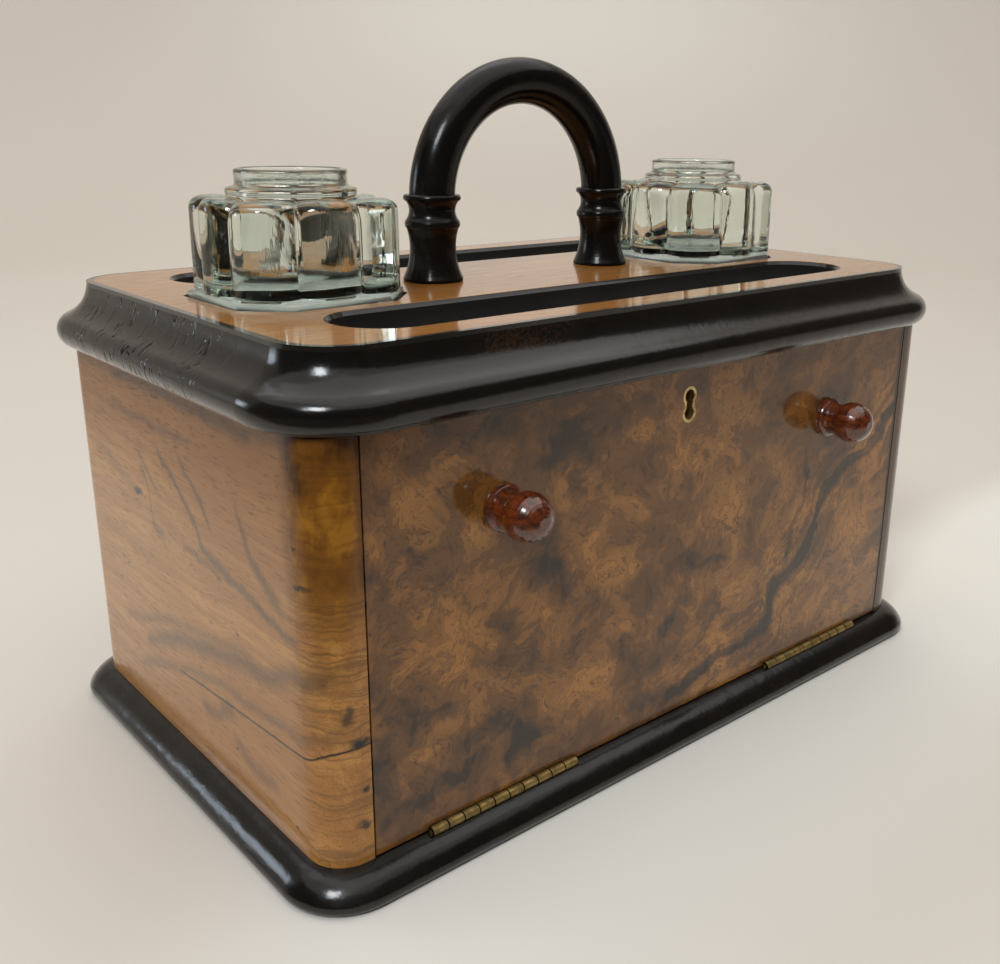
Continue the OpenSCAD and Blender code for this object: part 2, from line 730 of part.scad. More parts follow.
module lock_bolt() color(brass) difference() {
    union() {
        lock_box(bolt_w, bolt_y - bolt_t / 2, bolt_y + bolt_t / 2, flap_top_z - bolt_shoulder - 1,
            flap_top_z - bolt_low);
        lock_box(bolt_tail_w, bolt_y - bolt_t / 2, bolt_y + bolt_t / 2, flap_top_z - lock_case_h + case_wall,
            flap_top_z - bolt_shoulder);
    }
    lock_box(bolt_window_w, bolt_y - bolt_t, bolt_y + bolt_t, flap_top_z - lock_case_h + case_wall + 1.5,
        flap_top_z - bolt_shoulder - 1.6);
}

module lock_screws() color(brass)
    lock_screw_places() rotate([90, 0, 0]) screw_up(small_screw_d, small_screw_l);

module strike_place() translate([middle_x, bolt_y, top_z]) children();

module strike_slot(h) translate([0, 0, h / 2])
    cube([bolt_w + 2 * slide_clear, bolt_t + 2 * slide_clear, h + 2 * eps], center = true);

module strike_screw_places()
    for (s = [-1, 1]) translate([s * (strike_w / 2 - strike_screw_in), 0, 0]) children();

module strike_cut() {
    translate([0, 0, lock_plate_t / 2])
        cube([strike_w + 2 * let_in_clear, strike_d + 2 * let_in_clear, lock_plate_t + 2 * eps],
            center = true);
    strike_slot(strike_pocket);
    strike_screw_places() screw_hole_up(small_screw_d, small_screw_l);
}

module strike_plate() color(brass) strike_place() difference() {
    translate([0, 0, lock_plate_t / 2]) cube([strike_w, strike_d, lock_plate_t], center = true);
    strike_slot(strike_pocket);
    strike_screw_places() screw_hole_up(small_screw_d, small_screw_l);
}

module strike_screws() color(brass)
    strike_place() strike_screw_places() screw_up(small_screw_d, small_screw_l);

// ---------- hinges ----------

module hinge_places()
    for (s = [-1, 1]) translate([s * hinge_span / 2, hinge_y, hinge_z]) children();

module barrel(r, l) rotate([0, 90, 0]) cylinder(h = l, r = r, center = true, $fn = 48);

// wood cut away for the barrel and one leaf; up is 1 for the leaf on the flap, -1 for the one on the plinth
module leaf_room(up) {
    g = let_in_clear;
    barrel(barrel_d / 2 + barrel_clear, hinge_l + 2 * g);
    z0 = up > 0 ? -1 : -leaf_gap - leaf_t - g;
    z1 = up > 0 ? leaf_gap + leaf_t + g : 1;
    translate([-hinge_l / 2 - g, 0, z0]) cube([hinge_l + 2 * g, leaf_w + g, z1 - z0]);
    leaf_screw_holes(up);
}

module leaf_screw_holes(up)
    for (i = [-1, 0, 1]) translate([i * leaf_screw_step, leaf_screw_y - hinge_y, up * leaf_gap])
        mirror([0, 0, up > 0 ? 0 : 1]) screw_hole_up(small_screw_d, small_screw_l);

module fixed_leaf_room() leaf_room(-1);
module moving_leaf_room() leaf_room(1);

// one leaf with every second knuckle, bored for the pin
module leaf(up) color(brass) difference() {
    z0 = up > 0 ? leaf_gap : -leaf_gap - leaf_t;
    first = up > 0 ? 1 : 0;
    union() {
        translate([-hinge_l / 2, leaf_start, z0]) cube([hinge_l, leaf_w - leaf_start, leaf_t]);
        for (i = [first:2:knuckles - 1]) translate([(i + 0.5) * knuckle_l - hinge_l / 2, 0, 0]) {
            barrel(barrel_d / 2, knuckle_l - knuckle_gap);
            translate([-(knuckle_l - knuckle_gap) / 2, 0, z0])
                cube([knuckle_l - knuckle_gap, leaf_start + 0.5, leaf_t]);
        }
    }
    barrel(hinge_pin_d / 2 + peg_clear, hinge_l + 1);
    leaf_screw_holes(up);
}

module hinge_pin() color(steel) barrel(hinge_pin_d / 2, hinge_l - 2 * knuckle_gap);

module left_hinge_place() translate([-hinge_span / 2, hinge_y, hinge_z]) children();
module right_hinge_place() translate([hinge_span / 2, hinge_y, hinge_z]) children();

module hinge_left_fixed_leaf() left_hinge_place() leaf(-1);
module hinge_left_moving_leaf() left_hinge_place() leaf(1);
module hinge_left_pin() left_hinge_place() hinge_pin();
module hinge_right_fixed_leaf() right_hinge_place() leaf(-1);
module hinge_right_moving_leaf() right_hinge_place() leaf(1);
module hinge_right_pin() right_hinge_place() hinge_pin();

module leaf_screw_set(up) color(brass) hinge_places()
    for (i = [-1, 0, 1]) translate([i * leaf_screw_step, leaf_screw_y - hinge_y, up * leaf_gap])
        mirror([0, 0, up > 0 ? 0 : 1]) screw_up(small_screw_d, small_screw_l);

module hinge_fixed_screws() leaf_screw_set(-1);
module hinge_moving_screws() leaf_screw_set(1);

module plinth_screws() color(steel) plinth_screw_places() screw_up(large_screw_d, plinth_screw_l);

plinth();
floor_board();
side_left();
side_right();
back_panel();
lining_left();
lining_right();
division_left();
division_right();
top_board();
deck_veneer();
handle_post_left();
handle_post_right();
handle_arch();
handle_screws();
inkwell_left();
inkwell_right();
flap();
knob_left();
knob_right();
keyhole_lining();
lock_case();
lock_bolt();
lock_screws();
strike_plate();
strike_screws();
hinge_left_fixed_leaf();
hinge_left_moving_leaf();
hinge_left_pin();
hinge_right_fixed_leaf();
hinge_right_moving_leaf();
hinge_right_pin();
hinge_fixed_screws();
hinge_moving_screws();
plinth_screws();
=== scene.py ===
import math
import bmesh
import bpy
from mathutils import Matrix, Vector


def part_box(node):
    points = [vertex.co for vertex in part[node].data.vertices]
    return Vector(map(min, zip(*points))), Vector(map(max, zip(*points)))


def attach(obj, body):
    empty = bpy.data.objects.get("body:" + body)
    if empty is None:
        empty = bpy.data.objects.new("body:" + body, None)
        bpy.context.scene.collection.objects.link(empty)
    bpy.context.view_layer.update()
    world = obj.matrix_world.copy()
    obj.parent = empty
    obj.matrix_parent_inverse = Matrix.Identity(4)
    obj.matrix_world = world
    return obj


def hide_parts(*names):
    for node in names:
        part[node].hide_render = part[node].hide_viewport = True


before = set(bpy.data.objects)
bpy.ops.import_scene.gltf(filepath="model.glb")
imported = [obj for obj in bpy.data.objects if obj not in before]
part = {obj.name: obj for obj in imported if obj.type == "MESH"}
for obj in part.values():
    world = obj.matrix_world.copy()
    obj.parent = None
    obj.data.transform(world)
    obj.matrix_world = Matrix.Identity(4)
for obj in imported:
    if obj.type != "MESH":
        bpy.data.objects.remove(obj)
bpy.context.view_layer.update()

# ---------- table, backdrop, light and camera ----------
# The box stands on a pale round table top that rises all round into a plain wall, paler behind the box than
# in front of it. Two windows on the left give the long highlights; soft lamps hang overhead and by the wall.
table_r = 1.5
wall_bend_r = 0.8
wall_bend_steps = 12
wall_bend_turn = math.radians(7)
wall_top, wall_lean = 2.1, 0.05
table_segments = 96
paper_shade, paper_pale = (0.735, 0.685, 0.615), (0.765, 0.718, 0.650)
far_wall_pale, painted_light_pale = (0.900, 0.868, 0.815), (0.885, 0.862, 0.800)
room_dark = (0.130, 0.112, 0.095)
across_view, behind_viewer = (0.747, -0.664, 0), (-0.664, -0.747, 0)
front_wall, left_wall = (0.25, -0.9, 0), (1.092, -0.276, 0)
air_tint, air_strength = (1.0, 0.975, 0.94, 1), 0.70


def join(tree, value, socket):
    if isinstance(value, bpy.types.NodeSocket):
        tree.links.new(value, socket)
    else:
        socket.default_value = value


def node(tree, kind, inputs=None, **settings):
    made = tree.nodes.new("ShaderNode" + kind)
    for key, value in settings.items():
        setattr(made, key, value)
    for key, value in (inputs or {}).items():
        join(tree, value, made.inputs[key])
    return made


def new_finish(name, **values):
    finish = bpy.data.materials.new(name)
    finish.use_nodes = True
    tree = finish.node_tree
    surface = tree.nodes["Principled BSDF"]
    for key, value in values.items():
        surface.inputs[key.replace("_", " ")].default_value = value
    return finish, tree, surface, node(tree, "TexCoord").outputs["Object"]


def lay_on(tree, surface, **looks):
    for key, value in looks.items():
        tree.links.new(value, surface.inputs[key.replace("_", " ")])


def finished(bm, name, finish):
    data = bpy.data.meshes.new(name)
    bm.to_mesh(data)
    bm.free()
    for face in data.polygons:
        face.use_smooth = True
    data.materials.append(finish)
    made = bpy.data.objects.new(name, data)
    bpy.context.scene.collection.objects.link(made)
    return made


def steps(tree, value, low, high, to_low=0.0, to_high=1.0):
    # a soft step: to_low up to the first bound, to_high past the second
    return node(tree, "MapRange", {"Value": value, "From Min": low, "From Max": high, "To Min": to_low,
                                   "To Max": to_high}, interpolation_type="SMOOTHSTEP").outputs["Result"]


def reckon(tree, kind, first, *others):
    # the first value with the second, what comes of that with the third, and so on
    for other in others or (0.0,):
        first = node(tree, "Math", {0: first, 1: other}, operation=kind).outputs[0]
    return first


def mixed(tree, amount, low, high, kind="MIX"):
    made = node(tree, "Mix", {"Factor": amount}, data_type="RGBA", blend_type=kind)
    low_socket, high_socket = made.inputs[6], made.inputs[7]
    for colour, socket in ((low, low_socket), (high, high_socket)):
        join(tree, colour if isinstance(colour, bpy.types.NodeSocket) else (*colour, 1), socket)
    return made.outputs[2]


def noise(tree, place, scale, detail=4.0, rough=0.55):
    return node(tree, "TexNoise", {"Vector": place, "Scale": scale, "Detail": detail,
                                   "Roughness": rough}).outputs["Fac"]


def toward(tree, place, direction):
    return node(tree, "VectorMath", {0: place, 1: direction}, operation="DOT_PRODUCT").outputs["Value"]


def axes_of(tree, place):
    return tuple(node(tree, "SeparateXYZ", {"Vector": place}).outputs)


table_finish, tree, surface, place = new_finish("table_paper", Roughness=0.75, Specular_IOR_Level=0.15)
x, forward, height = axes_of(tree, place)
pale = mixed(tree, noise(tree, place, 2.2, 2.0, 0.5), paper_shade, paper_pale)
from_middle = toward(tree, place, across_view)
far_glow = reckon(tree, "MULTIPLY", steps(tree, reckon(tree, "ABSOLUTE", from_middle), 1.0, 0.1),
                  steps(tree, height, 0.05, 0.5))
pale = mixed(tree, far_glow, pale, far_wall_pale)
# painted light: the table is painted paler just in front of the box, where the box's own shade would fall
painted_light_front = reckon(tree, "MULTIPLY", steps(tree, forward, -0.215, -0.125), steps(tree, forward, 0.0, -0.05),
                    steps(tree, from_middle, -0.12, -0.03), steps(tree, x, 1.0, 0.35))
pale = mixed(tree, painted_light_front, pale, painted_light_pale)
# polished faces see the dark of the room, past the table's edge in front of the left corner and far out on
# its left, while whoever looks at the table itself sees it plain and pale
dim_front = reckon(tree, "MULTIPLY", steps(tree, toward(tree, place, front_wall), 0.45, 1.10),
                   steps(tree, height, 0.0, 0.35))
dim_behind = steps(tree, toward(tree, place, behind_viewer), 0.225, 0.33)
dim_left = steps(tree, toward(tree, place, left_wall), -0.30, -0.62, 0.0, 0.25)
seen = node(tree, "LightPath").outputs["Is Camera Ray"]
dim = reckon(tree, "MULTIPLY", reckon(tree, "MAXIMUM", dim_front, dim_behind, dim_left),
             reckon(tree, "SUBTRACT", 1.0, seen))
lay_on(tree, surface, Base_Color=mixed(tree, dim, pale, room_dark))

bm = bmesh.new()
profile = [bm.verts.new((0, 0, 0)), bm.verts.new((table_r, 0, 0))]
for i in range(1, wall_bend_steps + 1):
    a = i * wall_bend_turn
    profile.append(bm.verts.new((table_r + wall_bend_r * math.sin(a), 0, wall_bend_r * (1 - math.cos(a)))))
profile.append(bm.verts.new((table_r + wall_bend_r + wall_lean, 0, wall_top)))
edges = [bm.edges.new(pair) for pair in zip(profile, profile[1:])]
bmesh.ops.spin(bm, geom=profile + edges, cent=(0, 0, 0), axis=(0, 0, 1), angle=2 * math.pi,
               steps=table_segments, use_merge=True)
bmesh.ops.remove_doubles(bm, verts=bm.verts, dist=1e-6)
bmesh.ops.recalc_face_normals(bm, faces=bm.faces)
finished(bm, "table_and_wall", table_finish)

world = bpy.data.worlds.new("room")
world.use_nodes = True
bpy.context.scene.world = world
world.node_tree.nodes["Background"].inputs["Color"].default_value = air_tint
world.node_tree.nodes["Background"].inputs["Strength"].default_value = air_strength


def soft_light(name, spot, aim, width, height, power, tint):
    data = bpy.data.lights.new(name, "AREA")
    data.shape = "RECTANGLE"
    data.size = width
    data.size_y = height
    data.energy = power
    data.color = tint
    lamp = bpy.data.objects.new(name, data)
    bpy.context.scene.collection.objects.link(lamp)
    lamp.location = spot
    lamp.rotation_euler = (Vector(aim) - Vector(spot)).to_track_quat("-Z", "Y").to_euler()


soft_light("window_left", (-0.93, -0.59, 1.12), (0, 0, 0.08), 0.34, 0.38, 9.0, (0.92, 0.96, 1.0))
soft_light("window_far_left", (-0.915, 0.89, 0.38), (-0.16, -0.04, 0.02), 0.26, 0.30, 1.2, (0.76, 0.87, 1.0))
soft_light("wall_wash", (0.30, 1.05, 1.75), (1.15, 1.95, 0.45), 1.6, 1.3, 5.0, (1.0, 0.985, 0.96))
soft_light("overhead", (0.35, 0.15, 1.8), (0.1, 0.1, 0.1), 2.4, 2.4, 9.8, (1.0, 0.97, 0.93))

view = bpy.data.cameras.new("view")
view.sensor_fit = "HORIZONTAL"
view.sensor_width = 36
view.lens = 39.02
view.shift_x = -0.0477
view.shift_y = -0.0242
view.clip_start = 0.01
camera = bpy.data.objects.new("view", view)
bpy.context.scene.collection.objects.link(camera)
bpy.context.scene.camera = camera
view_spot = (-0.28104, -0.33155, 0.22480)
view_turn, view_tip, view_lean = 0.72581, -0.30149, 0.012583
ahead = Vector((math.sin(view_turn) * math.cos(view_tip), math.cos(view_turn) * math.cos(view_tip),
                math.sin(view_tip)))
level_right = Vector((math.cos(view_turn), -math.sin(view_turn), 0))
level_up = level_right.cross(ahead)
right = level_right * math.cos(view_lean) + level_up * math.sin(view_lean)
above = level_up * math.cos(view_lean) - level_right * math.sin(view_lean)
pose = Matrix((right, above, -ahead)).transposed().to_4x4()
pose.translation = view_spot
camera.matrix_world = pose
bpy.context.scene.view_settings.view_transform = "Standard"

# ---------- plinth ----------
# A board stained black and French polished, with a rounded nose all round; six screws hold it up to the
# sides. The polish has crazed, dust lies in it, and the nose is rubbed brown where hands have met it.
MM = 0.001
black_deep, black_soft = (0.0030, 0.0027, 0.0025), (0.0080, 0.0066, 0.0054)
# the troughs' black, painted darker as painted shade in the hollows
trough_shade_deep, trough_shade_soft = (0.0018, 0.0016, 0.0012), (0.0045, 0.0040, 0.0030)
rubbed_brown, dust_grey = (0.090, 0.040, 0.016), (0.30, 0.27, 0.23)
trough_zone_x, trough_zone_y, trough_zone_z, trough_fade = 142 * MM, 84 * MM, 169 * MM, 3 * MM
crack_from_x, crack_full_x, crack_middle_y = -142 * MM, -147 * MM, 8 * MM
crack_full_l, crack_end_l = 36 * MM, 62 * MM


def dressed(name, finish):
    piece = part[name]
    piece.data.materials.clear()
    piece.data.materials.append(finish)


def stretched(tree, place, scale):
    return node(tree, "Mapping", {"Vector": place, "Scale": scale}).outputs["Vector"]


def shifted(tree, place, clouds, amount):
    push = node(tree, "VectorMath", {0: clouds.outputs["Color"], 1: (0.5, 0.5, 0.5)}, operation="SUBTRACT")
    push = node(tree, "VectorMath", {0: push.outputs[0], "Scale": amount}, operation="SCALE")
    return node(tree, "VectorMath", {0: place, 1: push.outputs[0]}, operation="ADD").outputs[0]


def warped(tree, place, scale, amount):
    clouds = node(tree, "TexNoise", {"Vector": place, "Scale": scale, "Detail": 3.0})
    return shifted(tree, place, clouds, amount)


def apart(tree, a, b):
    return reckon(tree, "ABSOLUTE", reckon(tree, "SUBTRACT", a, b))


def relief(tree, surface, height, depth, strength=1.0, under=None):
    bump = node(tree, "Bump", {"Height": height, "Distance": depth, "Strength": strength})
    if under is not None:
        tree.links.new(under, bump.inputs["Normal"])
    lay_on(tree, surface, Normal=bump.outputs["Normal"], Coat_Normal=bump.outputs["Normal"])
    return bump.outputs["Normal"]


def polish_cracks(tree, place):
    # short shrinkage cracks across the left moulding, where the sun has dried the polish: thin lines, and
    # the wider dips that they lie in
    x, y, z = axes_of(tree, place)
    ripple = noise(tree, stretched(tree, warped(tree, place, 170, 2.8 * MM), (50, 240, 50)), 1.0, 1.5, 0.5)
    gap = apart(tree, ripple, 0.5)
    patch = reckon(tree, "MULTIPLY", steps(tree, x, crack_from_x, crack_full_x),
                   steps(tree, noise(tree, place, 190, 2), 0.46, 0.56),
                   steps(tree, apart(tree, y, crack_middle_y), crack_end_l, crack_full_l))
    return (reckon(tree, "MULTIPLY", steps(tree, gap, 0.022, 0.006), patch),
            reckon(tree, "MULTIPLY", steps(tree, gap, 0.050, 0.0), patch))


def black_polish(name, shine, coat, coat_rough, wave, dust, rub=0.0, rub_low=0.0, rub_high=1.0,
                 cracked=False):
    finish, tree, surface, place = new_finish(name, Specular_IOR_Level=shine, Coat_Weight=coat,
                                              Coat_Roughness=coat_rough)
    x, y, z = axes_of(tree, place)
    soft = noise(tree, place, 60, 5)
    fine = noise(tree, place, 900, 5, 0.6)
    wide = noise(tree, place, 22, 4)
    black = mixed(tree, soft, black_deep, black_soft)
    # rubbed brown patches, thickest between the two heights given
    worn = steps(tree, reckon(tree, "ADD", wide, reckon(tree, "MULTIPLY", fine, 0.5)), 0.86, 1.0)
    band = reckon(tree, "MULTIPLY", steps(tree, z, rub_low - 1.5 * MM, rub_low),
                  steps(tree, z, rub_high + 1.5 * MM, rub_high))
    black = mixed(tree, reckon(tree, "MULTIPLY", worn, band, rub), black, rubbed_brown)
    specks = steps(tree, noise(tree, place, 2600, 2, 0.5), 0.70, 0.76)
    black = mixed(tree, reckon(tree, "MULTIPLY", specks, dust), black, dust_grey)
    # in the pen troughs, well inside the edges and below the deck, the polish is dull
    from_x, from_y = reckon(tree, "ABSOLUTE", x), reckon(tree, "ABSOLUTE", y)
    inside = reckon(tree, "MULTIPLY", steps(tree, from_x, trough_zone_x, trough_zone_x - trough_fade),
                    steps(tree, from_y, trough_zone_y, trough_zone_y - trough_fade),
                    steps(tree, z, trough_zone_z, trough_zone_z - trough_fade / 3))
    # painted shade: the black in the troughs is painted darker than the rest
    black = mixed(tree, inside, black, mixed(tree, soft, trough_shade_deep, trough_shade_soft))
    coated = steps(tree, inside, 0.0, 1.0, coat, 0.0)
    rough = reckon(tree, "ADD", steps(tree, soft, 0.25, 0.75, 0.17, 0.32),
                   reckon(tree, "MULTIPLY", inside, 0.25))
    under = relief(tree, surface, noise(tree, place, 48, 2), 1.0 * MM, wave)
    wrinkles = noise(tree, stretched(tree, place, (1, 0.5, 1)), 330, 4, 0.6)
    under = relief(tree, surface, wrinkles, 0.22 * MM, wave, under)
    if cracked:
        line, dip = polish_cracks(tree, place)
        relief(tree, surface, reckon(tree, "MULTIPLY", dip, -1.0), 0.3 * MM, 0.45, under)
        coated = reckon(tree, "MULTIPLY", coated, steps(tree, line, 0.0, 1.0, 1.0, 0.1))
        rough = reckon(tree, "ADD", rough, reckon(tree, "MULTIPLY", line, 0.35))
    lay_on(tree, surface, Base_Color=black, Coat_Weight=coated, Roughness=rough)
    return finish


dressed("plinth", black_polish("plinth_black_polish", shine=0.26, coat=0.58, coat_rough=0.15, wave=0.46,
                               dust=0.14, rub=0.6, rub_low=2 * MM, rub_high=8.5 * MM))

# ---------- sides and back ----------
# Figured walnut boards with rounded outer corners, polished. The grain runs level and turns into long loops
# on the left side, where a drying crack, a knot, a few pits and some filled patches show dark.
side_woods = (0.585, 0.282, 0.074), (0.415, 0.178, 0.041), (0.100, 0.044, 0.015)
back_woods = (0.260, 0.120, 0.038), (0.165, 0.070, 0.020), (0.045, 0.022, 0.010)
left_figure_brown, right_figure_brown = (0.135, 0.070, 0.026), (0.100, 0.050, 0.022)
ripple_brown = (0.200, 0.094, 0.027)
amber_deep, amber_mid, amber_pale = (0.045, 0.016, 0.004), (0.215, 0.080, 0.007), (0.420, 0.180, 0.014)
amber_streak = (0.110, 0.040, 0.006)
knot_black, filler_black, crack_black = (0.014, 0.011, 0.009), (0.020, 0.020, 0.019), (0.010, 0.006, 0.004)
under_rim_shade, right_edge_shade = (0.72, 0.64, 0.50), (0.150, 0.135, 0.150)
# each line of the figure: its points from front to back and up in mm, its half width in mm and its strength
left_figure = (
    (((-81, 81), (-65, 84.6), (-51, 87.4), (-34, 88.9), (-19, 92.4), (-13, 99), (1, 112), (15, 121)),
     3.4, 0.80),
    (((-28, 99), (-25, 102), (-19, 109), (-11, 115), (-2, 124)), 3.0, 0.75),
    (((-74, 89), (-62, 94), (-56, 98), (-50, 105), (-45, 113), (-42, 122)), 5.0, 0.75),
    (((12, 102), (16, 105), (23, 110), (33, 117)), 2.8, 0.60),
    (((9, 79), (12, 87), (20, 90), (24, 105), (31, 110)), 4.0, 0.60),
    (((-33, 82), (-27, 87), (-16, 88.3), (0, 89)), 2.4, 0.60),
    (((-92, 75), (-74, 70), (-65, 66.7), (-51, 63), (-29, 59), (-8, 55), (12, 50), (26, 44.6), (40, 39)),
     6.5, 0.75),
    (((-60, 66), (-20, 62), (12, 57), (35, 50), (59, 43)), 3.6, 0.50),
    (((-92, 58), (-79, 52), (-50, 49), (-20, 46), (20, 36), (50, 26)), 3.8, 0.55),
    (((-36, 41), (-24, 37), (-17, 32), (-11, 32), (-4, 35)), 5.5, 0.70),
    (((-62, 26), (-50, 24.5), (-41, 26.7), (-28, 32)), 4.6, 0.60),
    (((-60, 138), (-20, 139), (15, 141), (50, 139)), 4.5, 0.65),
    (((-20, 128), (20, 127), (52, 129)), 3.0, 0.50),
    (((30, 96), (45, 102), (58, 106), (75, 108)), 4.0, 0.35))
right_figure = (
    (((-80, 40), (-40, 58), (-5, 92), (20, 96), (60, 70), (88, 62)), 5.0, 0.60),
    (((-75, 60), (-35, 82), (5, 112), (40, 104), (84, 84)), 4.0, 0.55),
    (((-66, 74), (-20, 104), (10, 124), (40, 116), (80, 100)), 6.0, 0.40),
    (((-90, 26), (-20, 34), (40, 48), (90, 44)), 3.6, 0.55),
    (((-60, 16), (0, 22), (50, 30), (88, 24)), 5.5, 0.40))
# ovals: their middle along and up in mm, half length, half height, turn in degrees and strength
left_knots = (
    (32, 99.6, 5.2, 2.2, 0, 1.0), (-32, 27, 1.4, 1.0, 0, 0.9), (-39, 70.5, 1.6, 0.9, 0, 0.8),
    (54, 68.5, 2, 0.9, 15, 0.8), (49, 67.5, 1.8, 0.8, 15, 0.7), (59, 58.5, 2, 0.9, 20, 0.7),
    (-79, 112, 1.3, 0.8, 0, 0.9), (-71, 18, 1.4, 1.2, 0, 0.9), (-81, 100.6, 5, 1.1, 0, 0.85),
    (-87, 82, 5, 0.9, 0, 0.5))
corner_fillings = (
    (-141, 61, 2.6, 4.5, -20, 0.75), (-138.5, 52, 4.6, 3.4, 8, 1.0), (-136.5, 36.4, 2.2, 2.4, 0, 0.95),
    (-137.5, 24.4, 3.4, 1.9, 0, 0.9))
drying_crack = ((-95, 52), (-86, 49), (-79, 46), (-50, 43.5), (-20, 41), (12, 38))
drying_crack_half = 0.75
corner_from_y, corner_full_y, rounding_y = -70 * MM, -80 * MM, -78 * MM
shade_from_z, shade_full_z, amber_full_z = 80 * MM, 138 * MM, 104 * MM
dull_from_z, dull_full_z = 85 * MM, 140 * MM
right_dark_from_y, right_dark_full_y = -66 * MM, -88 * MM


def polished_walnut(name, turn, woods, figure, coat=0.85, coat_rough=0.06, spread=1.0):
    pale, mid, dark = woods
    finish, tree, surface, place = new_finish(name, Specular_IOR_Level=0.22, Coat_Weight=coat,
                                              Coat_Roughness=coat_rough)
    sheet = node(tree, "Mapping", {"Vector": place, "Rotation": (0, 0, math.radians(turn))}).outputs["Vector"]
    bends = stretched(tree, sheet, (6, 16, 16))
    bends = node(tree, "TexNoise", {"Vector": bends, "Scale": 1.0, "Detail": 2.5})
    flow = shifted(tree, sheet, bends, 30 * MM * figure)
    rings = noise(tree, stretched(tree, flow, (6 * spread, 150, 150)), 1.0, 6, 0.66)
    fibres = noise(tree, stretched(tree, flow, (26, 520, 520)), 1.0, 4, 0.62)
    pores = noise(tree, stretched(tree, flow, (130, 1500, 1500)), 1.0, 3, 0.6)
    cloud = noise(tree, stretched(tree, flow, (14, 24, 24)), 1.0, 3, 0.5)
    wood = mixed(tree, steps(tree, rings, 0.36, 0.64), mid, pale)
    wood = mixed(tree, steps(tree, cloud, 0.40, 0.68, 0.0, 0.7), wood, mid)
    wood = mixed(tree, steps(tree, fibres, 0.50, 0.66, 0.0, 0.55), wood, mid)
    wood = mixed(tree, steps(tree, pores, 0.55, 0.70, 0.0, 0.55), wood, dark)
    under = relief(tree, surface, noise(tree, place, 30, 2), 0.6 * MM, 0.10)
    relief(tree, surface, pores, 0.1 * MM, 0.16, under)
    lay_on(tree, surface, Base_Color=wood, Roughness=steps(tree, pores, 0.3, 0.7, 0.30, 0.44))
    return finish, tree, surface, place, wood


def drawn_level(tree, along, points):
    # how far across a drawn line lies at each place along it, its points in mm along and across
    low, high = points[0][0], points[-1][0]
    least = min(point[1] for point in points)
    most = max(point[1] for point in points) + 0.001
    share = node(tree, "MapRange", {"Value": along, "From Min": low * MM, "From Max": high * MM})
    curve = node(tree, "FloatCurve", {"Value": share.outputs["Result"]})
    marks = curve.mapping.curves[0].points
    spots = [((a - low) / (high - low), (b - least) / (most - least)) for a, b in points]
    marks[0].location, marks[1].location = spots[0], spots[-1]
    for spot in spots[1:-1]:
        marks.new(*spot)
    curve.mapping.update()
    level = {"Value": curve.outputs["Value"], "To Min": least * MM, "To Max": most * MM}
    return node(tree, "MapRange", level).outputs["Result"]


def grain_line(tree, along, across, points, half_width, strength):
    # how dark the wood is near a drawn line, which fades at both its ends
    low, high = points[0][0] * MM, points[-1][0] * MM
    fade = min(6.0 * MM, (high - low) / 4)
    away = apart(tree, across, drawn_level(tree, along, points))
    return reckon(tree, "MULTIPLY", steps(tree, away, half_width * MM, 0.0, 0.0, strength),
                  steps(tree, along, low, low + fade), steps(tree, along, high, high - fade))


def figured(tree, place, lines):
    along, across = axes_of(tree, place)[1:]
    return reckon(tree, "MAXIMUM", *(grain_line(tree, along, across, *line) for line in lines))


def blots(tree, place, ovals, on_side):
    # soft ovals drawn on a side or on the front, which reach right through the board
    through = 9.0
    spots = []
    for a, up, length, height, turn, strength in ovals:
        a, up, length, height, turn = a * MM, up * MM, length * MM, height * MM, math.radians(turn)
        if on_side:
            where, spin, size = (0, a, up), (turn, 0, 0), (through, length, height)
        else:
            where, spin, size = (a, 0, up), (0, -turn, 0), (length, through, height)
        near = node(tree, "Mapping", {"Vector": place, "Location": where, "Rotation": spin, "Scale": size},
                    vector_type="TEXTURE").outputs["Vector"]
        away = node(tree, "VectorMath", {0: near}, operation="LENGTH").outputs["Value"]
        spots.append(steps(tree, away, 1.0, 0.25, 0.0, strength))
    return reckon(tree, "MAXIMUM", *spots)


side_walnut, tree, surface, place, wood = polished_walnut("side_walnut", 90, side_woods, figure=1.0)
x, y, z = axes_of(tree, place)
shaken = warped(tree, warped(tree, place, 60, 6 * MM), 260, 3.5 * MM)
wood = mixed(tree, figured(tree, shaken, left_figure), wood, left_figure_brown)
# the corner has thick level ripples and, high up, a heavy amber build of polish
at_corner = steps(tree, y, corner_from_y, corner_full_y)
ripples = noise(tree, stretched(tree, warped(tree, place, 90, 6 * MM), (20, 40, 700)), 1.0, 4, 0.6)
rippled = reckon(tree, "MULTIPLY", at_corner, steps(tree, ripples, 0.46, 0.62, 0.0, 0.65))
wood = mixed(tree, rippled, wood, ripple_brown)
shaded = steps(tree, z, shade_from_z, shade_full_z)
wood = mixed(tree, shaded, wood, mixed(tree, 1.0, wood, under_rim_shade, "MULTIPLY"))
amber = reckon(tree, "MULTIPLY", at_corner, steps(tree, z, shade_from_z, amber_full_z, 0.0, 0.9))
mottle = noise(tree, stretched(tree, warped(tree, place, 70, 8 * MM), (95, 95, 60)), 1.0, 5, 0.62)
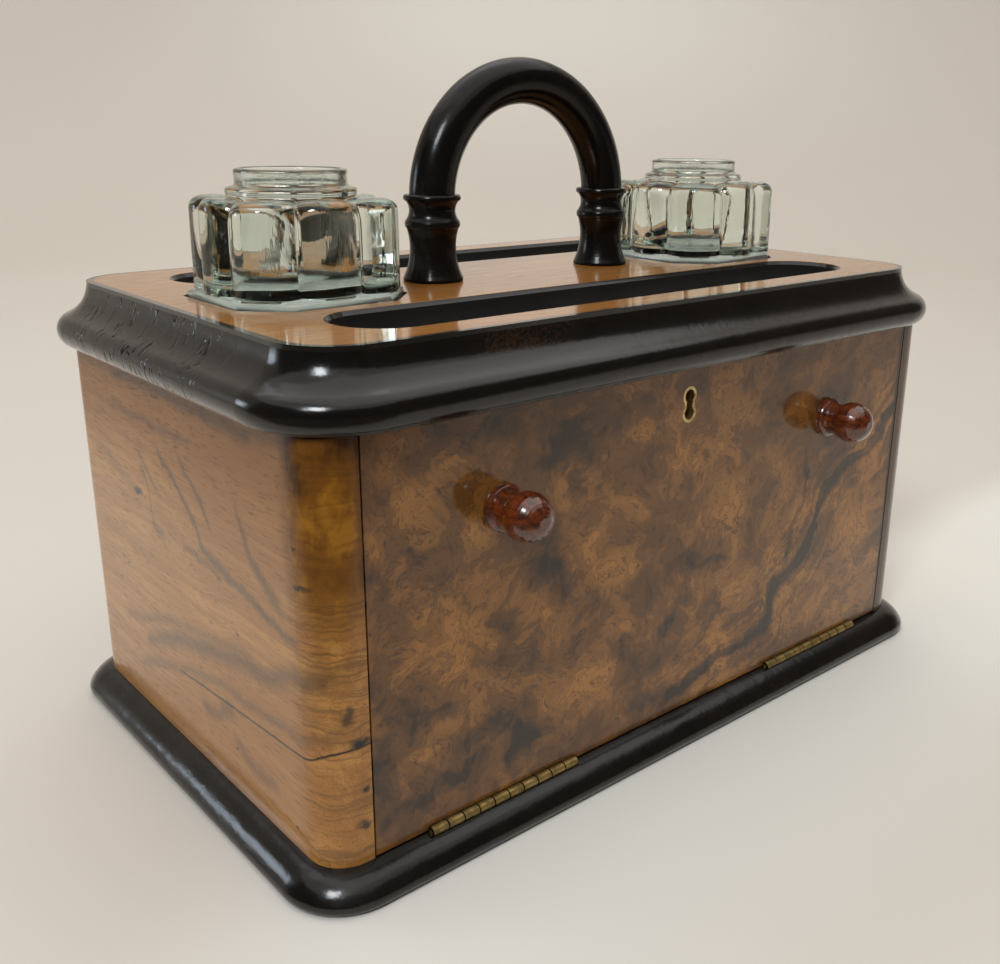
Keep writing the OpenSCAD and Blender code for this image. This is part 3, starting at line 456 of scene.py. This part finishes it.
# the amber darkens towards the top, painted shade under the moulding, and where the corner turns to the front
mottle = reckon(tree, "SUBTRACT", mottle, steps(tree, z, 124 * MM, 142 * MM, 0.0, 0.22),
                steps(tree, x, -137.2 * MM, -134.5 * MM, 0.0, 0.16))
tone = mixed(tree, steps(tree, mottle, 0.22, 0.46), amber_deep, amber_mid)
tone = mixed(tree, steps(tree, mottle, 0.46, 0.66), tone, amber_pale)
tone = mixed(tree, steps(tree, ripples, 0.50, 0.66, 0.0, 0.30), tone, amber_streak)
wood = mixed(tree, amber, wood, tone)
wood = mixed(tree, blots(tree, warped(tree, place, 160, 6 * MM), left_knots, True), wood, knot_black)
filled = blots(tree, warped(tree, place, 220, 6 * MM), corner_fillings, False)
filled = reckon(tree, "MULTIPLY", filled, steps(tree, y, rounding_y, corner_full_y))
wood = mixed(tree, filled, wood, filler_black)
along, across = axes_of(tree, warped(tree, place, 300, 0.9 * MM))[1:]
crack = grain_line(tree, along, across, drying_crack, drying_crack_half, 1.0)
wood = mixed(tree, crack, wood, crack_black)
coated = reckon(tree, "MULTIPLY", steps(tree, z, dull_from_z, dull_full_z, 0.85, 0.40),
                steps(tree, at_corner, 0.0, 1.0, 1.0, 0.6))
lay_on(tree, surface, Base_Color=wood, Coat_Weight=coated)
dressed("side_left", side_walnut)

right_walnut, tree, surface, place, wood = polished_walnut("right_side_walnut", 90, side_woods, figure=0.8)
shaken = warped(tree, place, 60, 6 * MM)
wood = mixed(tree, figured(tree, shaken, right_figure), wood, right_figure_brown)
front_edge = steps(tree, axes_of(tree, shaken)[1], right_dark_from_y, right_dark_full_y, 0.0, 0.95)
wood = mixed(tree, front_edge, wood, mixed(tree, 1.0, wood, right_edge_shade, "MULTIPLY"))
lay_on(tree, surface, Base_Color=wood)
dressed("side_right", right_walnut)

dressed("back_panel", polished_walnut("back_walnut", 0, back_woods, figure=0.6)[0])

# ---------- inside boards ----------
# Floor, linings and letter divisions of thin straight-grained wood, stained and waxed, slid in dry.
inner_woods = (0.250, 0.125, 0.050), (0.180, 0.085, 0.032), (0.070, 0.035, 0.015)
inner_board = polished_walnut("inner_board_wax", 90, inner_woods, figure=0.25, coat=0.1, coat_rough=0.35)[0]
for name in ("floor_board", "lining_left", "lining_right", "division_left", "division_right"):
    dressed(name, inner_board)

# ---------- moulded top ----------
# A thick black-polished board with a hollow above a rounded nose, worked with planes along each edge, and
# two troughs gouged for pens. The rim below the walnut is rubbed brown in places.
dressed("top_board", black_polish("top_black_polish", shine=0.06, coat=0.92, coat_rough=0.16, wave=0.28,
                                  dust=0.10, rub=0.35, rub_low=160 * MM, rub_high=166 * MM, cracked=True))

# ---------- deck ----------
# Golden walnut veneer, straight in the grain, glued over the top board and French polished to a mirror. Its
# outer border and all its cut edges are stained black with the mouldings, with a thin brown line between.
deck_woods = (0.490, 0.205, 0.036), (0.370, 0.142, 0.022), (0.130, 0.046, 0.011)
border_brown, border_black = (0.060, 0.022, 0.008), (0.0060, 0.0050, 0.0042)
deck_corner_r, border_w, border_shift = 19.7 * MM, 1.6 * MM, 0.6 * MM
deck_low, deck_high = (Vector(corner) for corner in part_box("deck_veneer"))
deck_middle = (deck_low + deck_high) / 2 + Vector((border_shift, 0, 0))
deck_half = (deck_high - deck_low) / 2 - Vector((deck_corner_r, deck_corner_r, 0))
deck_middle.z = deck_half.z = 0
deck_walnut, tree, surface, place, wood = polished_walnut("deck_walnut", 0, deck_woods, figure=0.30,
                                                          coat=0.9, coat_rough=0.05, spread=0.6)
# how far each spot lies from the straight-sided middle, which reaches the corner's radius at the deck's edge
away = node(tree, "VectorMath", {0: warped(tree, place, 45, 1.2 * MM), 1: (1, 1, 0)}, operation="MULTIPLY")
for kind, other in (("SUBTRACT", deck_middle), ("ABSOLUTE", (0, 0, 0)), ("SUBTRACT", deck_half),
                    ("MAXIMUM", (0, 0, 0))):
    away = node(tree, "VectorMath", {0: away.outputs[0], 1: other}, operation=kind)
to_edge = node(tree, "VectorMath", {0: away.outputs[0]}, operation="LENGTH").outputs["Value"]
border_from = deck_corner_r - border_w
browned = steps(tree, to_edge, border_from - 0.9 * MM, border_from - 0.1 * MM, 0.0, 0.85)
wood = mixed(tree, browned, wood, border_brown)
cut_edge = steps(tree, axes_of(tree, place)[2], deck_high.z - 0.06 * MM, deck_high.z - 0.14 * MM)
border = steps(tree, to_edge, border_from - 0.1 * MM, border_from + 0.3 * MM)
stained = reckon(tree, "MAXIMUM", border, cut_edge)
lay_on(tree, surface, Base_Color=mixed(tree, stained, wood, border_black))
dressed("deck_veneer", deck_walnut)

# ---------- handle ----------
# Two turned posts and a steam-bent arch with a satin black polish; the arch is let into the posts' rims.
handle_black = black_polish("handle_black_polish", shine=0.12, coat=0.28, coat_rough=0.13, wave=0.22,
                            dust=0.04)
for name in ("handle_post_left", "handle_post_right", "handle_arch"):
    dressed(name, handle_black)

# ---------- inkwells ----------
# Heavy pressed glass with a faint green tint: a cut-corner foot that drops into the deck, ground at its rim
# and underneath, eight upright lobes with arched tops, and a collared neck round a plain bore. They lift out.
lobe_side, lobe_corner, lobe_groove = 31.3 * MM, 35.6 * MM, 28.3 * MM
foot_half, foot_cut = 31.2 * MM, 34.6 * MM
groove_fall, groove_from_z, groove_to_z = 5.6 * MM, 13 * MM, 35 * MM
shoulder_z, lobe_rise, dome_foot_r, dome_inset, neck_dip = 41.6 * MM, 5.2 * MM, 21.6 * MM, 0.15 * MM, 1.1 * MM
dome_steps = 15
well_segments = 256
well_floor_z, foot_hollow_z = 11 * MM, 0.6 * MM
ground_low_z, ground_high_z, ground_fade = 166.8 * MM, 170.2 * MM, 0.6 * MM
ground_under_z, neck_from_z, neck_full_z = 160.3 * MM, 202.5 * MM, 203.5 * MM
glass_tint, glass_depth_tint, glass_depth = (0.970, 1.0, 0.975, 1), (0.70, 0.88, 0.69, 1), 7.0
# rings from the foot up, in mm: inset and height, then growth and height, then radius and height
foot_rings = (
    (3.0, 0.0), (0.9, 0.0), (0.25, 0.3), (0.0, 1.0), (0.0, 8.0), (0.0, 9.3), (0.25, 9.8), (0.9, 10.0))
lobe_rings = ((0.25, 10.2), (0.05, 10.7), (0.0, 13), (0.0, 18), (0.0, 23), (-0.05, 28), (-0.10, 32))
neck_and_bore = (
    (21.3, 40.7), (21.1, 41.2), (21.4, 41.8), (21.5, 42.4), (21.35, 43.0), (20.9, 43.5), (20.0, 43.8),
    (19.0, 43.95), (18.5, 44.3), (18.3, 45.2), (18.25, 47.2), (18.4, 48.2), (18.4, 48.9), (18.1, 49.3),
    (17.5, 49.5), (16.8, 49.5), (16.25, 49.25), (16.0, 48.6), (15.9, 46), (15.7, 40), (15.4, 32),
    (15.1, 25), (14.8, 19), (14.5, 16), (13.7, 13.6), (12.3, 12.0), (10.2, 11.2), (7.5, 11.0), (3.5, 11.0))


def lobed_reach(angle):
    # how far the eight lobes reach out at an angle, with a small round in each groove
    best = []
    for k in range(8):
        reach = lobe_corner if k % 2 else lobe_side
        middle = (reach ** 2 - lobe_groove ** 2) / (2 * (reach - lobe_groove * math.cos(math.pi / 8)))
        turn = angle - k * math.pi / 4
        under_root = (reach - middle) ** 2 - (middle * math.sin(turn)) ** 2
        if math.cos(turn) > 0 and under_root > 0:
            best.append(middle * math.cos(turn) + math.sqrt(under_root))
    # the greatest of them, softened
    sharp, near = 3200, 30 * MM
    return math.log(sum(math.exp(sharp * (b - near)) for b in best)) / sharp + near


def foot_reach(angle):
    return min(foot_half / max(abs(math.cos(angle)), abs(math.sin(angle))),
               foot_cut / max(abs(math.cos(angle - math.pi / 4)), abs(math.sin(angle - math.pi / 4))))


def arch_fall(angle):
    # 0 at the middle of a lobe, 1 in the groove between two: each lobe is arched on top
    across = abs((angle / (math.pi / 4) + 0.5) % 1 - 0.5) * 2
    return 1 - math.sqrt(max(0.0, 1 - across ** 2.2))


def lobe_ring(angle, grow, up):
    sunk = groove_fall * max(0.0, up - groove_from_z) / (groove_to_z - groove_from_z)
    return lobed_reach(angle) + grow, up - sunk * arch_fall(angle)


def dome_ring(angle, climb):
    # from the lobes' sides over their arched tops to the neck, as the climb goes from 0 to a right angle
    reach = lobed_reach(angle) - dome_inset
    fall = groove_fall * arch_fall(angle) * (1 - 0.75 * math.sin(climb))
    dip = neck_dip * max(0.0, math.sin(climb) - 0.75) / 0.25
    return (dome_foot_r + (reach - dome_foot_r) * math.cos(climb) ** 0.8,
            shoulder_z - lobe_rise * (1 - math.sin(climb) ** 0.8) - fall - dip)


def pressed_well(name, middle, turn, finish):
    climbs = [i * math.pi / 2 / (dome_steps - 1) for i in range(dome_steps)]
    rings = [lambda a, f=f, z=z: (foot_reach(a) - f * MM, z * MM) for f, z in foot_rings]
    rings += [lambda a, g=g, z=z: lobe_ring(a + turn, g * MM, z * MM) for g, z in lobe_rings]
    rings += [lambda a, climb=climb: dome_ring(a + turn, climb) for climb in climbs]
    rings += [lambda a, r=r, z=z: (r * MM, z * MM) for r, z in neck_and_bore]
    bm = bmesh.new()
    bmesh.ops.create_circle(bm, cap_ends=False, segments=well_segments, radius=10 * MM)
    ring_edges, ring = bm.edges[:], bm.verts[:]
    for i, ring_at in enumerate(rings):
        if i:
            grown = bmesh.ops.extrude_edge_only(bm, edges=ring_edges)["geom"]
            ring_edges = [g for g in grown if isinstance(g, bmesh.types.BMEdge) and len(g.link_faces) == 1]
            ring = [g for g in grown if isinstance(g, bmesh.types.BMVert)]
        for vert in ring:
            a = math.atan2(vert.co.y, vert.co.x)
            r, z = ring_at(a)
            vert.co = (r * math.cos(a), r * math.sin(a), z)
    # close the bore's floor, then the hollow under the foot
    for closing_z in (well_floor_z, foot_hollow_z):
        grown = bmesh.ops.extrude_edge_only(bm, edges=ring_edges)["geom"]
        tip = [g for g in grown if isinstance(g, bmesh.types.BMVert)]
        bmesh.ops.pointmerge(bm, verts=tip, merge_co=(0, 0, closing_z))
        ring_edges = [e for e in bm.edges if e.is_boundary]
    bmesh.ops.translate(bm, verts=bm.verts, vec=middle)
    bmesh.ops.recalc_face_normals(bm, faces=bm.faces)
    return finished(bm, name, finish)


pressed_glass, tree, surface, place = new_finish("pressed_green_glass", IOR=1.51, Transmission_Weight=1.0,
                                                 Base_Color=glass_tint)
glass_z = axes_of(tree, place)[2]
ground = reckon(tree, "MULTIPLY", steps(tree, glass_z, ground_low_z, ground_low_z + ground_fade),
                steps(tree, glass_z, ground_high_z, ground_high_z - ground_fade))
ground_under = steps(tree, glass_z, ground_under_z, ground_under_z - 0.5 * MM)
rough = reckon(tree, "ADD", reckon(tree, "MULTIPLY", ground, 0.16),
               reckon(tree, "MULTIPLY", ground_under, 0.6))
clear = reckon(tree, "MULTIPLY", steps(tree, ground, 0.0, 1.0, 1.0, 0.86),
               steps(tree, ground_under, 0.0, 1.0, 1.0, 0.5))
lay_on(tree, surface, Roughness=rough, Transmission_Weight=clear)
under = relief(tree, surface, noise(tree, place, 38, 2, 0.5), 1.0 * MM, 0.10)
drawn_lines = noise(tree, stretched(tree, place, (1, 1, 0.18)), 520, 2, 0.6)
under = relief(tree, surface, drawn_lines, 0.08 * MM, 0.35, under)
in_neck = steps(tree, glass_z, neck_from_z, neck_full_z)
speckle = reckon(tree, "MULTIPLY", noise(tree, place, 900, 3, 0.7), in_neck)
relief(tree, surface, speckle, 0.12 * MM, 0.35, under)
tint = node(tree, "VolumeAbsorption", {"Color": glass_depth_tint, "Density": glass_depth})
tree.links.new(tint.outputs["Volume"], tree.nodes["Material Output"].inputs["Volume"])
for side, turn in (("left", math.radians(4)), ("right", 0.0)):
    low, high = (Vector(corner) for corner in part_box("inkwell_" + side))
    middle = (low + high) / 2
    middle.z = low.z
    well = pressed_well(side + "_pressed_well", middle, turn, pressed_glass)
    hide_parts("inkwell_" + side)
    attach(well, side + "_well")

# ---------- falling front ----------
# One board with a burr walnut face, cut from a root so that the figure swirls, with dark seams and small
# eyes. The face is French polished; the edges and the inside are plain walnut. It falls open on two hinges.
burr_deep, burr_mid, burr_pale = (0.030, 0.017, 0.008), (0.160, 0.066, 0.016), (0.485, 0.208, 0.042)
contour_brown, eye_brown, fleck_brown = (0.062, 0.030, 0.011), (0.050, 0.025, 0.010), (0.040, 0.020, 0.009)
inner_dark, inner_pale = (0.150, 0.068, 0.024), (0.260, 0.125, 0.045)
gap_shadow_black = (0.006, 0.004, 0.003)
burr_back_y, plain_from_y = -89.2 * MM, -88.8 * MM
seam_lean = math.radians(34)
# seams in mm along the lean and square to it
long_seam = ((0, 19), (8.4, 16), (31, 10.4), (49.4, -1.9), (60, -4.2), (71, 5.2), (87, 4), (101, 6.7),
             (115, 16.6), (126, 18.7), (150, 11.9), (167, 15.2), (180, 17))
short_seam = ((70, 6), (79, 9.6), (90, 18.9), (107.5, 28.8), (115.6, 42.6))
# ovals as on the sides: their middle along and up, half length, half height, turn and strength
dark_clouds = (
    (-54, 126, 20, 9, 5, 1.0), (-22, 131, 22, 8, 3, 0.9), (-55, 113, 5, 10, 0, 1.0),
    (-118, 105, 6, 4.5, 0, 1.0), (-104, 90, 10, 5, -10, 0.6), (-70, 88, 16, 7, -25, 1.0),
    (-60, 79, 10, 6, -15, 0.8), (-86, 70, 9, 14, 20, 0.8), (-126, 60, 9, 6, 0, 0.7),
    (-113, 53, 16, 5, -20, 0.9), (-92, 37, 16, 8, -15, 1.0), (-76, 24, 8, 13, 10, 1.0),
    (-104, 26, 18, 7, -5, 0.9), (-132, 40, 8, 14, 0, 0.6), (2, 70, 13, 6.5, 0, 1.0),
    (18, 66, 8, 2.6, -8, 0.7), (8, 106, 4, 5, 0, 0.9), (-1, 112, 3, 6, 0, 0.7), (-30, 50, 5, 6, 10, 0.8),
    (-8, 50, 12, 4, 15, 0.8), (20, 43, 14, 2.6, -4, 0.7), (-64, 100, 6, 10, 0, 0.6),
    (28, 134, 8, 3, 0, 0.5), (46, 126, 14, 5, 0, 0.6), (71, 95, 2.5, 10, 0, 0.8), (132, 124, 6, 22, 0, 0.6),
    (-120, 130, 12, 6, 0, 0.5), (-90, 136, 14, 5, 0, 0.6), (-134, 105, 5, 18, 0, 0.5),
    (-45, 66, 10, 6, 0, 0.5), (120, 70, 12, 3, -10, 0.4), (-20, 22, 16, 5, 0, 0.4))
pale_clouds = (
    (-110, 76, 20, 18, 0, 0.8), (-118, 118, 18, 14, 0, 0.5), (-46, 34, 20, 14, 10, 0.8),
    (-8, 28, 20, 9, 0, 0.9), (34, 94, 34, 26, 0, 0.8), (-30, 98, 30, 16, 0, 0.7),
    (112, 56, 18, 26, 20, 0.8), (-28, 76, 26, 10, 0, 0.6), (70, 74, 6, 20, -25, 0.9),
    (62, 118, 24, 10, 0, 0.5), (118, 116, 14, 10, 0, 0.5), (-60, 56, 12, 12, 0, 0.5),
    (20, 58, 26, 10, 0, 0.6), (100, 28, 30, 10, 0, 0.4))
burr, tree, surface, place = new_finish("burr_walnut", Specular_IOR_Level=0.25, Coat_Weight=0.75,
                                        Coat_Roughness=0.06)
swirl = warped(tree, warped(tree, place, 24, 36 * MM), 95, 12 * MM)
curls = noise(tree, swirl, 62, 6, 0.62)
patches = noise(tree, swirl, 15, 3, 0.55)
# a dark seam runs up to the right from the lower edge, with a shorter one and fine grain beside it
leaning = node(tree, "Mapping", {"Vector": warped(tree, warped(tree, place, 55, 10 * MM), 200, 5 * MM),
                                 "Rotation": (0, seam_lean, 0)}).outputs["Vector"]
up_seam, _, over_seam = axes_of(tree, leaning)
aside = reckon(tree, "SUBTRACT", over_seam, drawn_level(tree, up_seam, long_seam))
in_reach = reckon(tree, "MULTIPLY", steps(tree, up_seam, 4 * MM, 14 * MM),
                  steps(tree, aside, 24 * MM, 12 * MM), steps(tree, aside, -24 * MM, -12 * MM))
first_seam = reckon(tree, "MULTIPLY", steps(tree, reckon(tree, "ABSOLUTE", aside), 5.0 * MM, 1.0 * MM),
                    steps(tree, up_seam, -2 * MM, 8 * MM))
off_second = apart(tree, over_seam, drawn_level(tree, up_seam, short_seam))
second_seam = reckon(tree, "MULTIPLY", steps(tree, off_second, 2.8 * MM, 0.3 * MM, 0.0, 0.8),
                     steps(tree, up_seam, 76 * MM, 84 * MM), steps(tree, up_seam, 116 * MM, 112 * MM))
seams = reckon(tree, "MAXIMUM", first_seam, second_seam)
beside_seam = node(tree, "CombineXYZ", {"X": reckon(tree, "MULTIPLY", aside, 300.0),
                                        "Y": reckon(tree, "MULTIPLY", up_seam, 22.0)}).outputs["Vector"]
beside_grain = reckon(tree, "SUBTRACT", noise(tree, beside_seam, 1.0, 3.0, 0.6), 0.5)
darkened = blots(tree, warped(tree, warped(tree, place, 42, 24 * MM), 170, 12 * MM), dark_clouds, False)
lightened = blots(tree, warped(tree, place, 36, 24 * MM), pale_clouds, False)
level = curls
for kind, amount, share in (("ADD", reckon(tree, "SUBTRACT", patches, 0.5), 0.75), ("ADD", lightened, 0.16),
                            ("SUBTRACT", darkened, 0.24), ("SUBTRACT", seams, 0.34),
                            ("ADD", reckon(tree, "MULTIPLY", in_reach, beside_grain), 0.9)):
    level = reckon(tree, kind, level, reckon(tree, "MULTIPLY", amount, share))
wood = mixed(tree, steps(tree, level, 0.18, 0.46), burr_deep, burr_mid)
wood = mixed(tree, steps(tree, level, 0.40, 0.84), wood, burr_pale)
contour = reckon(tree, "PINGPONG", reckon(tree, "MULTIPLY", curls, 17.0), 1.0)
contour = reckon(tree, "MULTIPLY", steps(tree, contour, 0.34, 0.0),
                 steps(tree, patches, 0.36, 0.56, 0.15, 0.50))
wood = mixed(tree, contour, wood, contour_brown)
cells = node(tree, "TexVoronoi", {"Vector": swirl, "Scale": 150}).outputs["Distance"]
eyed = reckon(tree, "MULTIPLY", steps(tree, apart(tree, cells, 0.24), 0.10, 0.0),
              steps(tree, noise(tree, place, 42, 2), 0.48, 0.58, 0.0, 0.55))
wood = mixed(tree, eyed, wood, eye_brown)
flecks = steps(tree, noise(tree, stretched(tree, swirl, (1, 1, 0.45)), 700, 3, 0.65), 0.55, 0.70, 0.0, 0.6)
wood = mixed(tree, flecks, wood, fleck_brown)
plain = noise(tree, stretched(tree, place, (8, 300, 300)), 1.0, 5, 0.6)
plain_wood = mixed(tree, steps(tree, plain, 0.35, 0.65), inner_dark, inner_pale)
behind_face = steps(tree, axes_of(tree, place)[1], burr_back_y, plain_from_y)
wood = mixed(tree, behind_face, wood, plain_wood)
# a painted shadow of the gap by the right hinge: the face is painted black along its right edge, wider at the
# top
flap_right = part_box("flap")[1][0]
gap_shadow_line = toward(tree, place, (1, 0, 0.007))
gap_shadow_line = steps(tree, gap_shadow_line, flap_right - 1.0 * MM, flap_right - 0.6 * MM, 0.0, 0.96)
wood = mixed(tree, gap_shadow_line, wood, gap_shadow_black)
lay_on(tree, surface, Base_Color=wood, Roughness=steps(tree, flecks, 0.0, 0.6, 0.28, 0.42))
under = relief(tree, surface, noise(tree, place, 34, 2), 0.5 * MM, 0.10)
relief(tree, surface, noise(tree, swirl, 500, 3), 0.08 * MM, 0.15, under)
dressed("flap", burr)

# ---------- knobs ----------
# Turned rosewood, polished to a high gloss: a ball on a ringed flange, pegged and glued into the front.
rosewood_deep, rosewood_red = (0.050, 0.009, 0.003), (0.190, 0.036, 0.007)
rosewood_pore = (0.030, 0.006, 0.002)
rosewood, tree, surface, place = new_finish("rosewood_polish", Specular_IOR_Level=0.4, Coat_Weight=1.0,
                                            Coat_Roughness=0.09, Roughness=0.25, Coat_IOR=1.6)
streak = noise(tree, stretched(tree, warped(tree, place, 90, 4 * MM), (520, 90, 520)), 1.0, 5, 0.6)
wood = mixed(tree, steps(tree, streak, 0.34, 0.66), rosewood_deep, rosewood_red)
pores = noise(tree, stretched(tree, place, (1900, 500, 1900)), 1.0, 3)
wood = mixed(tree, steps(tree, pores, 0.58, 0.70, 0.0, 0.6), wood, rosewood_pore)
lay_on(tree, surface, Base_Color=wood)
relief(tree, surface, noise(tree, place, 160, 2), 0.2 * MM, 0.05)
for name in ("knob_left", "knob_right"):
    dressed(name, rosewood)

# ---------- hinges and lock ----------
# Butt hinges, keyhole lining and lock of brass, screwed and let in flush. The brass has gone brown and
# spotted, with black grime between the knuckles; the lining is rubbed brighter. The long screws are steel.
brass_yellow, brass_brown, brass_spot = (0.46, 0.33, 0.12), (0.24, 0.165, 0.062), (0.060, 0.045, 0.024)
grime_black = (0.010, 0.008, 0.006)
lining_bright, lining_brown = (0.72, 0.56, 0.26), (0.35, 0.24, 0.09)
steel_grey, rust_brown = (0.30, 0.29, 0.27), (0.10, 0.055, 0.030)
knuckles = 10
barrel_back_y, barrel_front_y = -88 * MM, -89 * MM


def aged_brass(name, barrel_ends=None):
    finish, tree, surface, place = new_finish(name, Metallic=0.85, Specular_IOR_Level=0.5)
    tarnish = noise(tree, place, 260, 6, 0.6)
    shade = mixed(tree, steps(tree, tarnish, 0.35, 0.65), brass_yellow, brass_brown)
    shade = mixed(tree, steps(tree, noise(tree, place, 1300, 3), 0.60, 0.72, 0.0, 0.5), shade, brass_spot)
    rough = steps(tree, tarnish, 0.3, 0.7, 0.38, 0.60)
    if barrel_ends is not None:
        # grime in the joint between each two knuckles
        x, y, z = axes_of(tree, place)
        knuckle_l = (barrel_ends[1] - barrel_ends[0]) / knuckles
        along = reckon(tree, "DIVIDE", reckon(tree, "SUBTRACT", x, barrel_ends[0]), knuckle_l)
        joint = apart(tree, along, reckon(tree, "ROUND", along))
        joint = reckon(tree, "MULTIPLY", steps(tree, joint, 0.055, 0.030),
                       steps(tree, y, barrel_back_y, barrel_front_y))
        shade = mixed(tree, joint, shade, grime_black)
        rough = reckon(tree, "ADD", rough, reckon(tree, "MULTIPLY", joint, 0.3))
    lay_on(tree, surface, Base_Color=shade, Roughness=rough)
    relief(tree, surface, tarnish, 0.2 * MM, 0.12)
    return finish


def spotted_metal(name, metallic, clean, stained, scale, spots_from, spots_to, smooth, coarse):
    finish, tree, surface, place = new_finish(name, Metallic=metallic)
    spots = noise(tree, place, scale, 5, 0.6)
    lay_on(tree, surface, Base_Color=mixed(tree, steps(tree, spots, spots_from, spots_to), clean, stained),
           Roughness=steps(tree, spots, 0.3, 0.7, smooth, coarse))
    return finish, tree, surface, spots


brass = aged_brass("aged_brass")
for name in part:
    if name.startswith(("hinge", "lock", "strike")):
        dressed(name, brass)
for side in ("left", "right"):
    low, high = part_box("hinge_" + side + "_fixed_leaf")
    barrel_brass = aged_brass("aged_brass_" + side + "_hinge", (low[0], high[0]))
    for leaf in ("fixed", "moving"):
        dressed("hinge_" + side + "_" + leaf + "_leaf", barrel_brass)
bright_brass, tree, surface, tarnish = spotted_metal(
    "rubbed_brass", metallic=0.9, clean=lining_bright, stained=lining_brown, scale=420,
    spots_from=0.40, spots_to=0.68, smooth=0.24, coarse=0.45)
relief(tree, surface, tarnish, 0.1 * MM, 0.25)
dressed("keyhole_lining", bright_brass)
steel = spotted_metal(
    "screw_steel", metallic=1.0, clean=steel_grey, stained=rust_brown, scale=600,
    spots_from=0.42, spots_to=0.62, smooth=0.35, coarse=0.7)[0]
for name in ("plinth_screws", "handle_screws"):
    dressed(name, steel)
